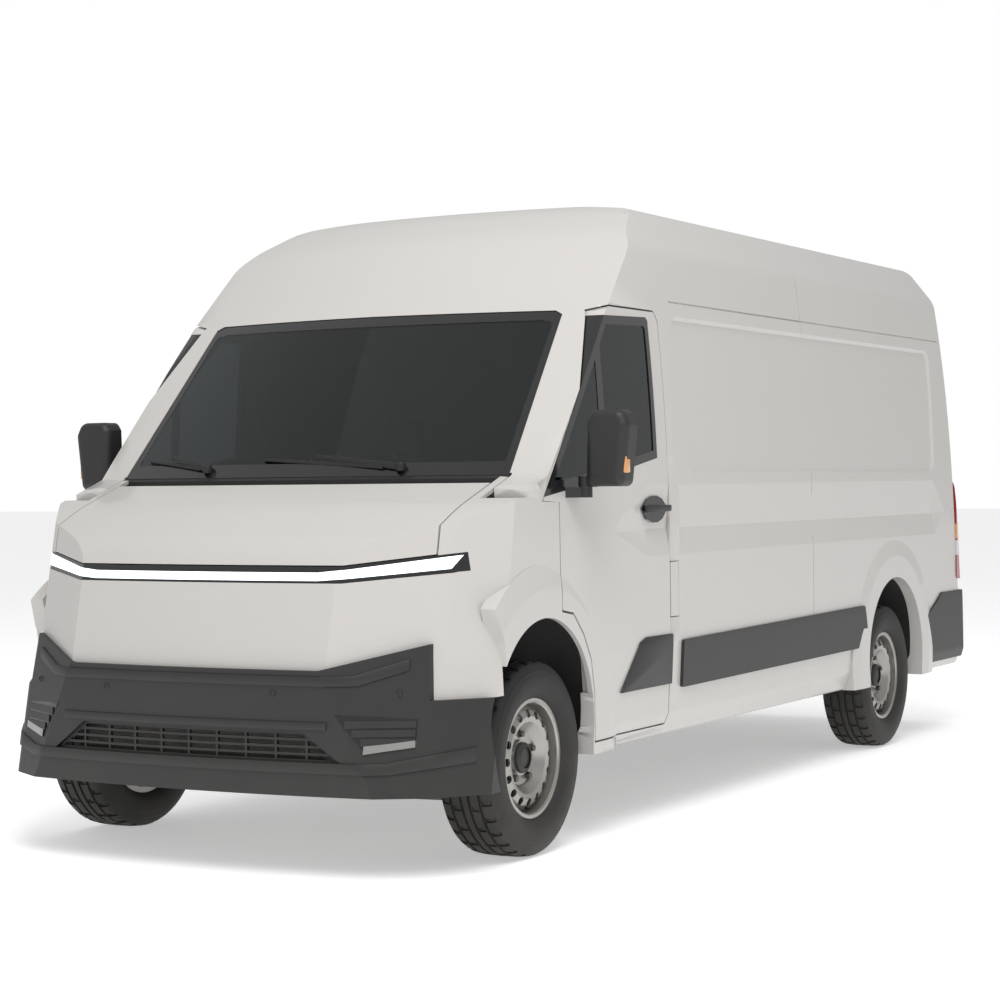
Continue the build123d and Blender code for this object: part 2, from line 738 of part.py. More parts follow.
with BuildPart() as arch_liners:
    for sign in (1, -1):
        for u, z, inner, radius in liners:
            near, far = sorted((sign * inner, sign * 1010))
            add(drum(radius, near, far, u, z))
    for sign in (1, -1):
        for u, z, inner, radius in liners:
            near, far = sorted((sign * (inner + liner_thickness), sign * 1100))
            add(drum(radius - liner_thickness, near, far, u, z), mode=Mode.SUBTRACT)
            add(box(-1200, 1200, u - 500, u + 500, 0, 405), mode=Mode.SUBTRACT)
    add(shell(wall + fit), mode=Mode.INTERSECT)
save(arch_liners, "arch_liners")

bulkhead_u = 1132
with BuildPart() as bulkhead:
    add(box(-1010, 1010, bulkhead_u, bulkhead_u + 16, load_floor, 2600))
    add(shell(wall + fit), mode=Mode.INTERSECT)
save(bulkhead, "bulkhead")

# Steering wheel on a fixed column, and the seats
steer_x = 470
steer_u = 500
steer_z = 1165
wheel_rim_radius = 190
column_radius = 32
column_length = 215
hub_depth = 24
steer_direction = Vector(0, 0.77, 0.64)
steer_plane = Plane(origin=(steer_x, at(steer_u), steer_z), x_dir=(1, 0, 0), z_dir=steer_direction)

with BuildPart() as dashboard:
    with BuildSketch(Plane.YZ.offset(-880)):
        with BuildLine():
            FilletPolyline((at(70), 930), (at(70), 1236), (at(150), 1290), (at(330), 1262), (at(410), 1150),
                           (at(390), 900), (at(300), 880), close=True, radius=[20, 20, 60, 60, 60, 40, 20])
        make_face()
    extrude(amount=1760)
    with BuildSketch(steer_plane.offset(-column_length)):
        Circle(column_radius)
    extrude(amount=column_length - hub_depth)
    for sign in (1, -1):
        near, far = sorted((sign * 812, sign * 900))
        add(box(near, far, 60, 240, 1262, 1320), mode=Mode.SUBTRACT)
save(dashboard, "dashboard")

with BuildPart() as steering_wheel:
    with Locations(steer_plane):
        Torus(wheel_rim_radius, 15)
    with BuildSketch(steer_plane.offset(fit - hub_depth)):
        Circle(30)
    extrude(amount=hub_depth - fit)
    with BuildSketch(steer_plane.offset(-6)):
        Circle(62)
        Rectangle(2 * wheel_rim_radius, 34)
        with Locations((0, -wheel_rim_radius / 2)):
            Rectangle(34, wheel_rim_radius)
    extrude(amount=12)
save(steering_wheel, "steering_wheel")

cab_floor = 510
seat_top = 905
seat_back_u = 1020
seats = (("driver_seat", 470, 500), ("passenger_seat", -430, 860))
with BuildPart() as seat_bases:
    for name, middle, width in seats:
        add(box(middle - width / 2 + 50, middle + width / 2 - 50, 680, 1080, cab_floor, 770))
save(seat_bases, "seat_bases")
for name, middle, width in seats:
    with BuildPart() as seat:
        with BuildSketch(Plane.YZ.offset(middle - width / 2)):
            with BuildLine():
                FilletPolyline((at(560), 770), (at(1110), 770), (at(1118), 1440), (at(1040), 1440),
                               (at(960), 890), (at(600), 915), (at(552), 870), close=True,
                               radius=[20, 40, 40, 36, 60, 60, 40])
            make_face()
        extrude(amount=width)
        heads = (middle,) if width < 600 else (middle - width / 4, middle + width / 4)
        for head in heads:
            add(box(head - 120, head + 120, 1036, 1116, 1460, 1640))
            for stem in (-50, 50):
                add(post(7, head + stem, 1076, 1420, 1470))
    save(seat, name)

# Wheels: the tyre and the rim of the left side, turned over for the right
wheel_z = tyre_radius
rim_hole_ring = 160
rim_hole_radius = 15
rim_hole_count = 16


def wheel_plane(u):
    return Plane(origin=(track_half, at(u), wheel_z), x_dir=(1, 0, 0), z_dir=(0, -1, 0))


def tyre(u):
    with BuildPart() as body:
        with BuildSketch(wheel_plane(u)):
            with BuildLine():
                Polyline((-97, 225), (-83, 225), (-83, bead_radius), (83, bead_radius), (83, 225), (97, 225))
                ThreePointArc((97, 225), (tyre_width / 2, 284), (108, 330))
                ThreePointArc((108, 330), (102, 346), (88, 352))
                ThreePointArc((88, 352), (0, tyre_radius), (-88, 352))
                ThreePointArc((-88, 352), (-102, 346), (-108, 330))
                ThreePointArc((-108, 330), (-tyre_width / 2, 284), (-97, 225))
            make_face()
        revolve(axis=Axis((track_half, at(u), wheel_z), (1, 0, 0)))
    return body.part


def rim(u):
    with BuildPart() as body:
        with BuildSketch(wheel_plane(u)):
            with BuildLine():
                Polyline((-rim_half_width, rim_flange_radius), (-84, rim_flange_radius), (-84, bead_radius),
                         (84, bead_radius), (84, rim_flange_radius), (rim_half_width, rim_flange_radius),
                         (rim_half_width, 198), (44, 198), (70, 172), (78, 150), (74, 130), (40, 98),
                         (36, 60), (36, spindle_radius + running_fit), (-20, spindle_radius + running_fit),
                         (-20, 150), (-8, 150), (-8, 70), (26, 70), (30, 104), (64, 134), (68, 150),
                         (62, 166), (34, 194), (20, 198), (-rim_half_width, 198), close=True)
            make_face()
        revolve(axis=Axis((track_half, at(u), wheel_z), (1, 0, 0)))
        with BuildSketch(Plane.YZ.offset(track_half + 20)):
            with Locations((at(u), wheel_z)):
                with PolarLocations(rim_hole_ring, rim_hole_count):
                    Circle(rim_hole_radius)
        extrude(amount=80, mode=Mode.SUBTRACT)
        with BuildSketch(Plane.YZ.offset(track_half + 32)):
            with Locations((at(u), wheel_z)):
                Circle(64)
        extrude(amount=14)
        chamfer(body.faces().filter_by(Axis.X).sort_by(Axis.X)[-1].edges(), length=6)
    return body.part


for u, end in ((0, "front"), (wheelbase, "rear")):
    for make, kind in ((tyre, "tyre"), (rim, "rim")):
        left = make(u)
        for sign, side in ((1, "left"), (-1, "right")):
            with BuildPart() as piece:
                add(left if sign > 0 else flipped(left))
            save(piece, f"{kind}_{end}_{side}")

# Front suspension: knuckle and strut turn about the leaning kingpin line
kingpin_top_z = 872


def kingpin_at(z):
    """X of the kingpin line at height z."""
    return kingpin_x - (z - kingpin_z) * kingpin_lean


def along_kingpin(z):
    return Plane(origin=(kingpin_at(z), at(0), z), x_dir=(1, 0, kingpin_lean), z_dir=(-kingpin_lean, 0, 1))


strut_low = Vector(716, at(0), 470)
strut_top = Vector(kingpin_at(kingpin_top_z), at(0), kingpin_top_z)
strut_plane = Plane(origin=strut_low, x_dir=(0, 1, 0), z_dir=strut_top - strut_low)
with BuildPart() as knuckle:
    add(drum(spindle_radius, track_half - 80, track_half + 24, 0, wheel_z))
    add(box(track_half - 80, track_half - 52, -36, 36, kingpin_z + 12, 500))
    add(box(700, track_half - 60, -24, 24, 452, 500))
    with BuildSketch(along_kingpin(kingpin_z + fit)):
        Circle(20)
    extrude(amount=34)
    with BuildSketch(strut_plane):
        Circle(26)
    extrude(amount=(strut_top - strut_low).length - 40)
    with BuildSketch(along_kingpin(kingpin_top_z - 60)):
        Circle(18)
    extrude(amount=60)
    with BuildSketch(along_kingpin(760)):
        Circle(62)
    extrude(amount=10)
for sign, side in ((1, "left"), (-1, "right")):
    with BuildPart() as piece:
        add(knuckle.part if sign > 0 else flipped(knuckle.part))
    save(piece, f"knuckle_{side}")

rail_low = 350
rail_high = 470
with BuildPart() as lower_arm:
    with BuildSketch(Plane.XY.offset(kingpin_z - 24)):
        with BuildLine():
            Polyline((380, at(-90)), (kingpin_x - 30, at(-24)), (kingpin_x, at(-24)), (kingpin_x, at(24)),
                     (kingpin_x - 30, at(24)), (380, at(200)), close=True)
        make_face()
    extrude(amount=18)
    add(box(380, 430, -90, 200, kingpin_z - 24, 236))
    with BuildSketch(along_kingpin(kingpin_z).offset(-24)):
        Circle(20)
    extrude(amount=24)
with BuildPart() as strut_mount:
    with BuildSketch(along_kingpin(kingpin_top_z).offset(fit)):
        Circle(44)
    extrude(amount=60)
    add(drum(front_liner_radius - liner_thickness, 500, 900, front_liner_u, front_arch_z), mode=Mode.INTERSECT)
with BuildPart() as front_subframe:
    add(box(-430, 430, -250, 200, 230, 330))
    for sign in (1, -1):
        for block in (lower_arm, strut_mount):
            add(block.part if sign > 0 else flipped(block.part))
        near, far = sorted((sign * 400, sign * 520))
        add(box(near, far, -60, 60, 290, rail_low))
save(front_subframe, "front_subframe")

with BuildPart() as engine_block:
    add(box(-260, 260, -420, 30, 330, 880))
save(engine_block, "engine_block")

with BuildPart() as front_rails:
    for sign in (1, -1):
        near, far = sorted((sign * 430, sign * 520))
        add(box(near, far, -640, 1130, rail_low, rail_high))
    add(box(-520, 520, -690, -640, 400, 560))
save(front_rails, "front_rails")

with BuildPart() as chassis_frame:
    for sign in (1, -1):
        near, far = sorted((sign * 430, sign * 590))
        add(box(near, far, 1130, 1260, rail_low, load_floor - floor_thickness))
        near, far = sorted((sign * 510, sign * 590))
        add(box(near, far, 1130, 4780, 490, load_floor - floor_thickness))
    for u in (1190, 2200, 3300, 4700):
        add(box(-560, 560, u - 40, u + 40, 500, 580))
save(chassis_frame, "chassis_frame")

spring_x = 560
spring_front = 3160
spring_rear = 4380
with BuildPart() as rear_axle:
    add(drum(45, -745, 745, wheelbase, wheel_z))
    for sign in (1, -1):
        near, far = sorted((sign * 740, sign * (track_half + 24)))
        add(drum(spindle_radius, near, far, wheelbase, wheel_z))
        near, far = sorted((sign * 790, sign * 800))
        add(drum(120, near, far, wheelbase, wheel_z))
        near, far = sorted((sign * (spring_x - 32), sign * (spring_x + 32)))
        add(box(near, far, wheelbase - 60, wheelbase + 60, 290, 350))
        with BuildSketch(Plane.YZ.offset(near)):
            with BuildLine():
                ThreePointArc((at(spring_front), 470), (at(wheelbase), 316), (at(spring_rear), 470))
                Line((at(spring_rear), 470), (at(spring_rear), 452))
                ThreePointArc((at(spring_rear), 452), (at(wheelbase), 298), (at(spring_front), 452))
                Line((at(spring_front), 452), (at(spring_front), 470))
            make_face()
        extrude(amount=far - near)
        for u in (spring_front, spring_rear):
            add(box(near, far, u - 30, u + 30, 448, 490))
save(rear_axle, "rear_axle")

with BuildPart() as fuel_tank:
    add(box(90, 480, 1420, 2120, 345, load_floor - floor_thickness))
    fillet(fuel_tank.edges().filter_by(Axis.Y), radius=40)
save(fuel_tank, "fuel_tank")

exhaust_x = -200
exhaust_z = 430


def pipe(radius, x, z, u0, u1):
    """A round bar along the van."""
    with BuildPart() as bar:
        with BuildSketch(Plane.XZ.offset(-at(u1))):
            with Locations((x, z)):
                Circle(radius)
        extrude(amount=u1 - u0)
    return bar.part


with BuildPart() as exhaust:
    add(pipe(28, exhaust_x, exhaust_z, 30, 4760))
    add(pipe(70, exhaust_x, exhaust_z, 2460, 3060))
    for u in (1190, 2200, 3300, 4700):
        add(box(exhaust_x - 12, exhaust_x + 12, u - 10, u + 10, exhaust_z + 20, 500))
save(exhaust, "exhaust")
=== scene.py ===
"""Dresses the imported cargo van: finishes, tyres, wheel trim, lamps, wipers, handles, cabin and studio."""
from __future__ import annotations

import json
import logging
import math
from contextlib import contextmanager
from dataclasses import dataclass
from enum import Enum
from typing import Callable, Iterable, Iterator, Sequence

import bmesh
import bpy
from mathutils import Matrix, Vector

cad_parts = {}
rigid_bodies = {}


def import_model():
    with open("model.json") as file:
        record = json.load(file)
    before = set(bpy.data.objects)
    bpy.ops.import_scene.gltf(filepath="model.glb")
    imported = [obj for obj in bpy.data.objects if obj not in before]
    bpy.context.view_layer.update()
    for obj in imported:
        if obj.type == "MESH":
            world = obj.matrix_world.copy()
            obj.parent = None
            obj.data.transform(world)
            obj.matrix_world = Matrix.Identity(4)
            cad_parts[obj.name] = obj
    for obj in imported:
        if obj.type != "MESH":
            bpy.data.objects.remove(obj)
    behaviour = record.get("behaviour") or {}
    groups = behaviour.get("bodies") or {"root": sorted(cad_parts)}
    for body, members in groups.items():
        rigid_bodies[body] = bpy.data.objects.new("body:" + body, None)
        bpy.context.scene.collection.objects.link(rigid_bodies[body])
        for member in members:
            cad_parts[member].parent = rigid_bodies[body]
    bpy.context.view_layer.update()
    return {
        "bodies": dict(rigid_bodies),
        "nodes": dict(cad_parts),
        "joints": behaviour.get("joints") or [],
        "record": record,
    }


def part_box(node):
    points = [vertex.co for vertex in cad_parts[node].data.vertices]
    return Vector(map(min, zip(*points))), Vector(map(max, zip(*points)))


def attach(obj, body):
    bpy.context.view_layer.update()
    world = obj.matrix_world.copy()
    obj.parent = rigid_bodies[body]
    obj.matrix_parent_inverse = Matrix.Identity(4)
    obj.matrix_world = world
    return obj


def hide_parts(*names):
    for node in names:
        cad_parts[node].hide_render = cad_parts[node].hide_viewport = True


LOG = logging.getLogger("van")
Point = tuple[float, float, float]
Outline = Sequence[tuple[float, float]]
FacePick = Callable[[Vector, Vector], bool]

# Sizes that several sub-assemblies share, in metres. A station u is the distance behind the front axle.
AXLE_Y = -2.085
WHEELBASE = 3.750
TRACK = 0.870
TYRE_RADIUS = 0.356
AXLES = (("front", 0.0), ("rear", WHEELBASE))
MERGE = 0.00002


def at(u: float) -> float:
    """Place along Y, in metres, of a station given in metres behind the front axle."""
    return AXLE_Y + u


class Side(Enum):
    """The two sides of the van; the value is the sign of X."""

    LEFT = 1
    RIGHT = -1

    @property
    def word(self) -> str:
        """Name of the side as the bodies use it."""
        return self.name.lower()


class Axis(Enum):
    """Direction that a round piece points along."""

    X = "x"
    Y = "y"
    Z = "z"


# ---------------------------------------------------------------- finishes


class Shader:
    """A material under construction, with short calls for its nodes."""

    def __init__(self, name: str) -> None:
        """Make an empty node material.

        Args:
            name: Name of the material.
        """
        self.material = bpy.data.materials.new(name)
        self.material.use_nodes = True
        self.tree = self.material.node_tree
        self.tree.nodes.clear()
        self.surface = self.node("ShaderNodeBsdfPrincipled")
        out = self.node("ShaderNodeOutputMaterial")
        self.link(self.surface.outputs["BSDF"], out.inputs["Surface"])
        self.place = self.node("ShaderNodeTexCoord").outputs["Object"]

    def node(self, kind: str, **settings: object) -> bpy.types.Node:
        """Add a node and set its plain settings.

        Args:
            kind: Blender's name for the node type.
            settings: Attributes to set on the node.

        Returns:
            The new node.
        """
        made = self.tree.nodes.new(kind)
        for key, value in settings.items():
            setattr(made, key, value)
        return made

    def link(self, source: bpy.types.NodeSocket, target: bpy.types.NodeSocket) -> None:
        """Join an output to an input."""
        self.tree.links.new(source, target)

    def group(self, name: str, **values: object) -> bpy.types.Node:
        """Place a shared node group that reads Object coordinates.

        Args:
            name: Name of the group.
            values: Input values by socket name, with _ for a space.

        Returns:
            The group node.
        """
        made = self.node("ShaderNodeGroup")
        made.node_tree = bpy.data.node_groups[name]
        self.link(self.place, made.inputs["Place"])
        for key, value in values.items():
            made.inputs[key.replace("_", " ")].default_value = value
        return made

    def set(self, **values: object) -> None:
        """Set constants on the surface shader, with _ for a space."""
        for key, value in values.items():
            self.surface.inputs[key.replace("_", " ")].default_value = value

    def mix(self, factor: bpy.types.NodeSocket, low: Sequence[float], high: Sequence[float],
            low_from: bpy.types.NodeSocket | None = None) -> bpy.types.NodeSocket:
        """Mix two colours by a mask.

        Args:
            factor: Mask from 0 to 1.
            low: Colour at 0.
            high: Colour at 1.
            low_from: Output that takes the place of the low colour.

        Returns:
            The mixed colour's output.
        """
        made = self.node("ShaderNodeMix", data_type="RGBA")
        self.link(factor, made.inputs["Factor"])
        made.inputs["A"].default_value = (*low, 1)
        made.inputs["B"].default_value = (*high, 1)
        if low_from is not None:
            self.link(low_from, made.inputs["A"])
        return made.outputs["Result"]

    def bump(self, height: bpy.types.NodeSocket, distance: float, strength: float = 1.0) -> None:
        """Drive the surface normal from a height.

        Args:
            height: Height from 0 to 1.
            distance: Depth of the relief in metres.
            strength: Share of the relief that shows.
        """
        made = self.node("ShaderNodeBump")
        made.inputs["Distance"].default_value = distance
        made.inputs["Strength"].default_value = strength
        self.link(height, made.inputs["Height"])
        self.link(made.outputs["Normal"], self.surface.inputs["Normal"])


class SharedEffects:
    """Node groups that several finishes use."""

    def socket(self, tree: bpy.types.NodeTree, name: str, kind: str, output: bool = False,
               value: float | None = None) -> None:
        """Add one socket to a group's interface.

        Args:
            tree: The group.
            name: Name of the socket.
            kind: Float or Vector or Color.
            output: Whether it is an output.
            value: Default value of a float input.
        """
        made = tree.interface.new_socket(name, in_out="OUTPUT" if output else "INPUT",
                                         socket_type=f"NodeSocket{kind}")
        if value is not None:
            made.default_value = value

    def start(self, name: str, inputs: dict[str, float], outputs: Sequence[str]) -> tuple:
        """Start a group with a Place input, float inputs and float outputs.

        Args:
            name: Name of the group.
            inputs: Float inputs with their default values.
            outputs: Names of the float outputs.

        Returns:
            The tree, its input node and its output node.
        """
        tree = bpy.data.node_groups.new(name, "ShaderNodeTree")
        self.socket(tree, "Place", "Vector")
        for key, value in inputs.items():
            self.socket(tree, key, "Float", value=value)
        for key in outputs:
            self.socket(tree, key, "Float", output=True)
        return tree, tree.nodes.new("NodeGroupInput"), tree.nodes.new("NodeGroupOutput")

    def grain(self) -> None:
        """Fine moulded grain: a height and a slow cloudiness."""
        tree, source, out = self.start("moulded_grain", {"Scale": 400.0, "Cloud Scale": 3.0},
                                       ("Height", "Cloud"))
        fine = tree.nodes.new("ShaderNodeTexNoise")
        fine.inputs["Detail"].default_value = 3
        slow = tree.nodes.new("ShaderNodeTexNoise")
        slow.inputs["Detail"].default_value = 4
        for node, key, target in ((fine, "Scale", "Height"), (slow, "Cloud Scale", "Cloud")):
            tree.links.new(source.outputs["Place"], node.inputs["Vector"])
            tree.links.new(source.outputs[key], node.inputs["Scale"])
            tree.links.new(node.outputs["Fac"], out.inputs[target])

    def dust(self) -> None:
        """Road dust that grows towards the ground, broken up by noise."""
        tree, source, out = self.start("road_dust", {"Top": 0.9, "Amount": 0.3}, ("Mask",))
        apart = tree.nodes.new("ShaderNodeSeparateXYZ")
        tree.links.new(source.outputs["Place"], apart.inputs[0])
        fall = tree.nodes.new("ShaderNodeMapRange")
        tree.links.new(apart.outputs["Z"], fall.inputs["Value"])
        tree.links.new(source.outputs["Top"], fall.inputs["From Min"])
        fall.inputs["From Max"].default_value = 0.0
        noise = tree.nodes.new("ShaderNodeTexNoise")
        noise.inputs["Scale"].default_value = 9
        noise.inputs["Detail"].default_value = 6
        tree.links.new(source.outputs["Place"], noise.inputs["Vector"])
        both = tree.nodes.new("ShaderNodeMath")
        both.operation = "MULTIPLY"
        tree.links.new(fall.outputs["Result"], both.inputs[0])
        tree.links.new(noise.outputs["Fac"], both.inputs[1])
        scaled = tree.nodes.new("ShaderNodeMath")
        scaled.operation = "MULTIPLY"
        scaled.use_clamp = True
        tree.links.new(both.outputs[0], scaled.inputs[0])
        tree.links.new(source.outputs["Amount"], scaled.inputs[1])
        tree.links.new(scaled.outputs[0], out.inputs["Mask"])

    def build(self) -> None:
        """Make every shared group."""
        self.grain()
        self.dust()


DUST = (0.30, 0.27, 0.23)


@dataclass(frozen=True)
class Finish:
    """A surface finish: colour, gloss, grain and dust."""

    name: str
    color: tuple[float, float, float]
    second: tuple[float, float, float]
    roughness: float
    grain_scale: float = 400.0
    relief: float = 0.00006
    metallic: float = 0.0
    coat: float = 0.0
    dust: float = 0.0
    dust_top: float = 0.9
    transmission: float = 0.0
    glow: float = 0.0

    def build(self) -> bpy.types.Material:
        """Make the material.

        Returns:
            The finished material.
        """
        shader = Shader(self.name)
        shader.set(Roughness=self.roughness, Metallic=self.metallic, Transmission_Weight=self.transmission)
        if self.coat:
            shader.set(Coat_Roughness=0.04, Coat_Weight=self.coat)
        if self.glow:
            shader.set(Emission_Color=(*self.color, 1), Emission_Strength=self.glow)
        grain = shader.group("moulded_grain", Scale=self.grain_scale, Cloud_Scale=2.5)
        color = shader.mix(grain.outputs["Cloud"], self.color, self.second)
        if self.dust:
            dust = shader.group("road_dust", Top=self.dust_top, Amount=self.dust)
            color = shader.mix(dust.outputs["Mask"], self.color, DUST, low_from=color)
        shader.link(color, shader.surface.inputs["Base Color"])
        if not self.transmission:
            shader.bump(grain.outputs["Height"], self.relief)
        return shader.material


@dataclass(frozen=True)
class WovenFinish:
    """Seat cloth: a fine woven check with a soft sheen."""

    name: str
    color: tuple[float, float, float]
    second: tuple[float, float, float]
    thread: float = 900.0

    def build(self) -> bpy.types.Material:
        """Make the material.

        Returns:
            The finished material.
        """
        shader = Shader(self.name)
        shader.set(Roughness=0.92, Sheen_Weight=0.35, Sheen_Roughness=0.5)
        waves = []
        for direction in ("X", "Z"):
            wave = shader.node("ShaderNodeTexWave", wave_type="BANDS", bands_direction=direction)
            wave.inputs["Scale"].default_value = self.thread / 6.0
            wave.inputs["Distortion"].default_value = 0.4
            shader.link(shader.place, wave.inputs["Vector"])
            waves.append(wave)
        weave = shader.node("ShaderNodeMath", operation="MULTIPLY")
        shader.link(waves[0].outputs["Fac"], weave.inputs[0])
        shader.link(waves[1].outputs["Fac"], weave.inputs[1])
        shader.link(shader.mix(weave.outputs[0], self.color, self.second),
                    shader.surface.inputs["Base Color"])
        shader.bump(weave.outputs[0], 0.0005)
        return shader.material


FINISHES: tuple[Finish | WovenFinish, ...] = (
    Finish("body_paint", (0.57, 0.552, 0.53), (0.555, 0.537, 0.515), 0.34, 260.0, 0.00002, coat=0.4,
           dust=0.3, dust_top=0.8),
    Finish("dark_plastic", (0.017, 0.0175, 0.017), (0.023, 0.0235, 0.023), 0.5, 700.0, 0.00015, dust=0.06),
    Finish("black_gloss", (0.010, 0.010, 0.011), (0.014, 0.014, 0.015), 0.16, 300.0, 0.00001, coat=0.6),
    Finish("tinted_glass", (0.15, 0.185, 0.19), (0.14, 0.175, 0.18), 0.0, transmission=1.0),
    Finish("red_lens", (0.30, 0.012, 0.014), (0.24, 0.010, 0.012), 0.12, 120.0, 0.0002, coat=0.8),
    Finish("chassis_steel", (0.030, 0.030, 0.032), (0.055, 0.052, 0.050), 0.5, 220.0, 0.0002, metallic=0.3,
           dust=0.8, dust_top=1.0),
    Finish("engine_iron", (0.12, 0.12, 0.125), (0.19, 0.18, 0.17), 0.6, 150.0, 0.0005, metallic=0.8, dust=0.6),
    Finish("cabin_plastic", (0.022, 0.023, 0.025), (0.030, 0.031, 0.033), 0.6, 900.0, 0.0002),
    WovenFinish("seat_fabric", (0.030, 0.031, 0.034), (0.075, 0.077, 0.082)),
    Finish("tyre_rubber", (0.008, 0.008, 0.008), (0.013, 0.0125, 0.012), 0.65, 500.0, 0.0002, dust=0.12,
           dust_top=0.75),
    Finish("wheel_steel", (0.42, 0.41, 0.39), (0.34, 0.33, 0.31), 0.34, 300.0, 0.00008, metallic=0.85,
           dust=0.2, dust_top=0.7),
    Finish("bright_metal", (0.55, 0.55, 0.54), (0.48, 0.48, 0.47), 0.3, 400.0, 0.00004, metallic=1.0),
    Finish("lamp_white", (0.92, 0.95, 1.0), (0.88, 0.92, 0.98), 0.2, 200.0, 0.00001, glow=1.3),
    Finish("lamp_cool", (0.62, 0.62, 0.64), (0.56, 0.56, 0.58), 0.15, 120.0, 0.0001, coat=0.7),
    Finish("amber_lens", (0.75, 0.36, 0.14), (0.62, 0.28, 0.10), 0.18, 200.0, 0.00005, coat=0.6),
    Finish("mirror_face", (0.80, 0.82, 0.84), (0.78, 0.80, 0.82), 0.03, 100.0, 0.000002, metallic=1.0),
    Finish("seal_rubber", (0.012, 0.012, 0.012), (0.018, 0.018, 0.018), 0.65, 500.0, 0.0001),
    Finish("bolt_steel", (0.10, 0.095, 0.09), (0.16, 0.15, 0.14), 0.45, 500.0, 0.0001, metallic=0.9),
)


# ---------------------------------------------------------------- modelling bench


class Bench:
    """Modelling calls that every sub-assembly shares."""

    def __init__(self, materials: dict[str, bpy.types.Material]) -> None:
        """Keep the finishes at hand.

        Args:
            materials: Finished materials by name.
        """
        self.materials = materials

    def clear(self) -> None:
        """Deselect every object."""
        bpy.ops.object.select_all(action="DESELECT")

    def hold(self, obj: bpy.types.Object) -> None:
        """Select one object alone and make it active.

        Args:
            obj: The object.
        """
        self.clear()
        obj.select_set(True)
        bpy.context.view_layer.objects.active = obj

    @contextmanager
    def editing(self, obj: bpy.types.Object) -> Iterator[None]:
        """Keep a piece in edit mode, with all of it selected at the start.

        Args:
            obj: The piece.

        Returns:
            A context; the piece leaves edit mode at its end.
        """
        self.hold(obj)
        bpy.ops.object.mode_set(mode="EDIT")
        bpy.ops.mesh.select_all(action="SELECT")
        yield
        bpy.ops.object.mode_set(mode="OBJECT")

    def link(self, name: str, data: bpy.types.Mesh) -> bpy.types.Object:
        """Put a mesh into the scene as a new object.

        Args:
            name: Name of the object.
            data: Its mesh.

        Returns:
            The object.
        """
        made = bpy.data.objects.new(name, data)
        bpy.context.scene.collection.objects.link(made)
        return made

    def settle(self, obj: bpy.types.Object, name: str) -> bpy.types.Object:
        """Bake the object's place into its mesh and name it.

        Args:
            obj: The object.
            name: Its name.

        Returns:
            The same object.
        """
        self.hold(obj)
        bpy.ops.object.transform_apply(location=True, rotation=True, scale=True)
        obj.name = name
        obj.data.name = name
        return obj

    def block(self, name: str, low: Point, high: Point, bevel: float = 0.0, steps: int = 2) -> bpy.types.Object:
        """A box between two corners with rounded edges.

        Args:
            name: Name of the piece.
            low: One corner.
            high: The opposite corner.
            bevel: Radius of the edges.
            steps: Segments of the rounding.

        Returns:
            The piece.
        """
        self.clear()
        a, b = Vector(low), Vector(high)
        bpy.ops.mesh.primitive_cube_add(size=1, location=(a + b) / 2)
        obj = bpy.context.object
        obj.scale = [abs(v) for v in (b - a)]
        self.settle(obj, name)
        self.soften(obj, bevel, steps)
        return obj

    def beam(self, name: str, start: Point, end: Point, size: tuple[float, float],
             tip: tuple[float, float], up: Point = (0, 0, 1), bevel: float = 0.0) -> bpy.types.Object:
        """A tapered bar from one point to another.

        Args:
            name: Name of the piece.
            start: Middle of the first end.
            end: Middle of the second end.
            size: Width and height at the start.
            tip: Width and height at the end.
            up: Direction of the height.
            bevel: Radius of the edges.

        Returns:
            The piece.
        """
        obj = self.block(name, (-0.5, -0.5, -0.5), (0.5, 0.5, 0.5))
        a, b = Vector(start), Vector(end)
        along = (b - a).normalized()
        across = along.cross(Vector(up)).normalized()
        rise = across.cross(along)
        for vertex in obj.data.vertices:
            origin, spread = (a, size) if vertex.co.x < 0 else (b, tip)
            vertex.co = origin + across * spread[0] * vertex.co.y + rise * spread[1] * vertex.co.z
        self.outward(obj)
        self.soften(obj, bevel)
        return obj

    def disc(self, name: str, middle: Point, radius: float, depth: float, axis: Axis, sides: int = 32,
             bevel: float = 0.0) -> bpy.types.Object:
        """A round piece with softened edges.

        Args:
            name: Name of the piece.
            middle: Its middle.
            radius: Its radius.
            depth: Its length along the axis.
            axis: Direction it points along.
            sides: Facets round it.
            bevel: Radius of the edges.

        Returns:
            The piece.
        """
        self.clear()
        turn = {Axis.X: (0, math.pi / 2, 0), Axis.Y: (math.pi / 2, 0, 0), Axis.Z: (0, 0, 0)}[axis]
        bpy.ops.mesh.primitive_cylinder_add(vertices=sides, radius=radius, depth=depth, location=middle,
                                            rotation=turn)
        obj = self.settle(bpy.context.object, name)
        self.soften(obj, bevel, 3, angle_limit=math.radians(50))
        return obj

    def lathe(self, name: str, profile: Outline, steps: int, merge: float = 0.00005) -> bpy.types.Object:
        """Spin a closed profile about X.

        Args:
            name: Name of the piece.
            profile: Points as (x, radius), one closed loop.
            steps: Facets round it.
            merge: Distance under which the seam's points become one.

        Returns:
            The piece.
        """
        self.clear()
        bpy.ops.mesh.primitive_circle_add(vertices=len(profile), radius=1, fill_type="NOTHING")
        obj = self.settle(bpy.context.object, name)
        for vertex, (x, radius) in zip(obj.data.vertices, profile):
            vertex.co = (x, 0, radius)
        with self.editing(obj):
            bpy.ops.mesh.spin(steps=steps, angle=2 * math.pi, center=(0, 0, 0), axis=(1, 0, 0))
            bpy.ops.mesh.select_all(action="SELECT")
            bpy.ops.mesh.remove_doubles(threshold=merge)
            bpy.ops.mesh.normals_make_consistent(inside=False)
        return obj

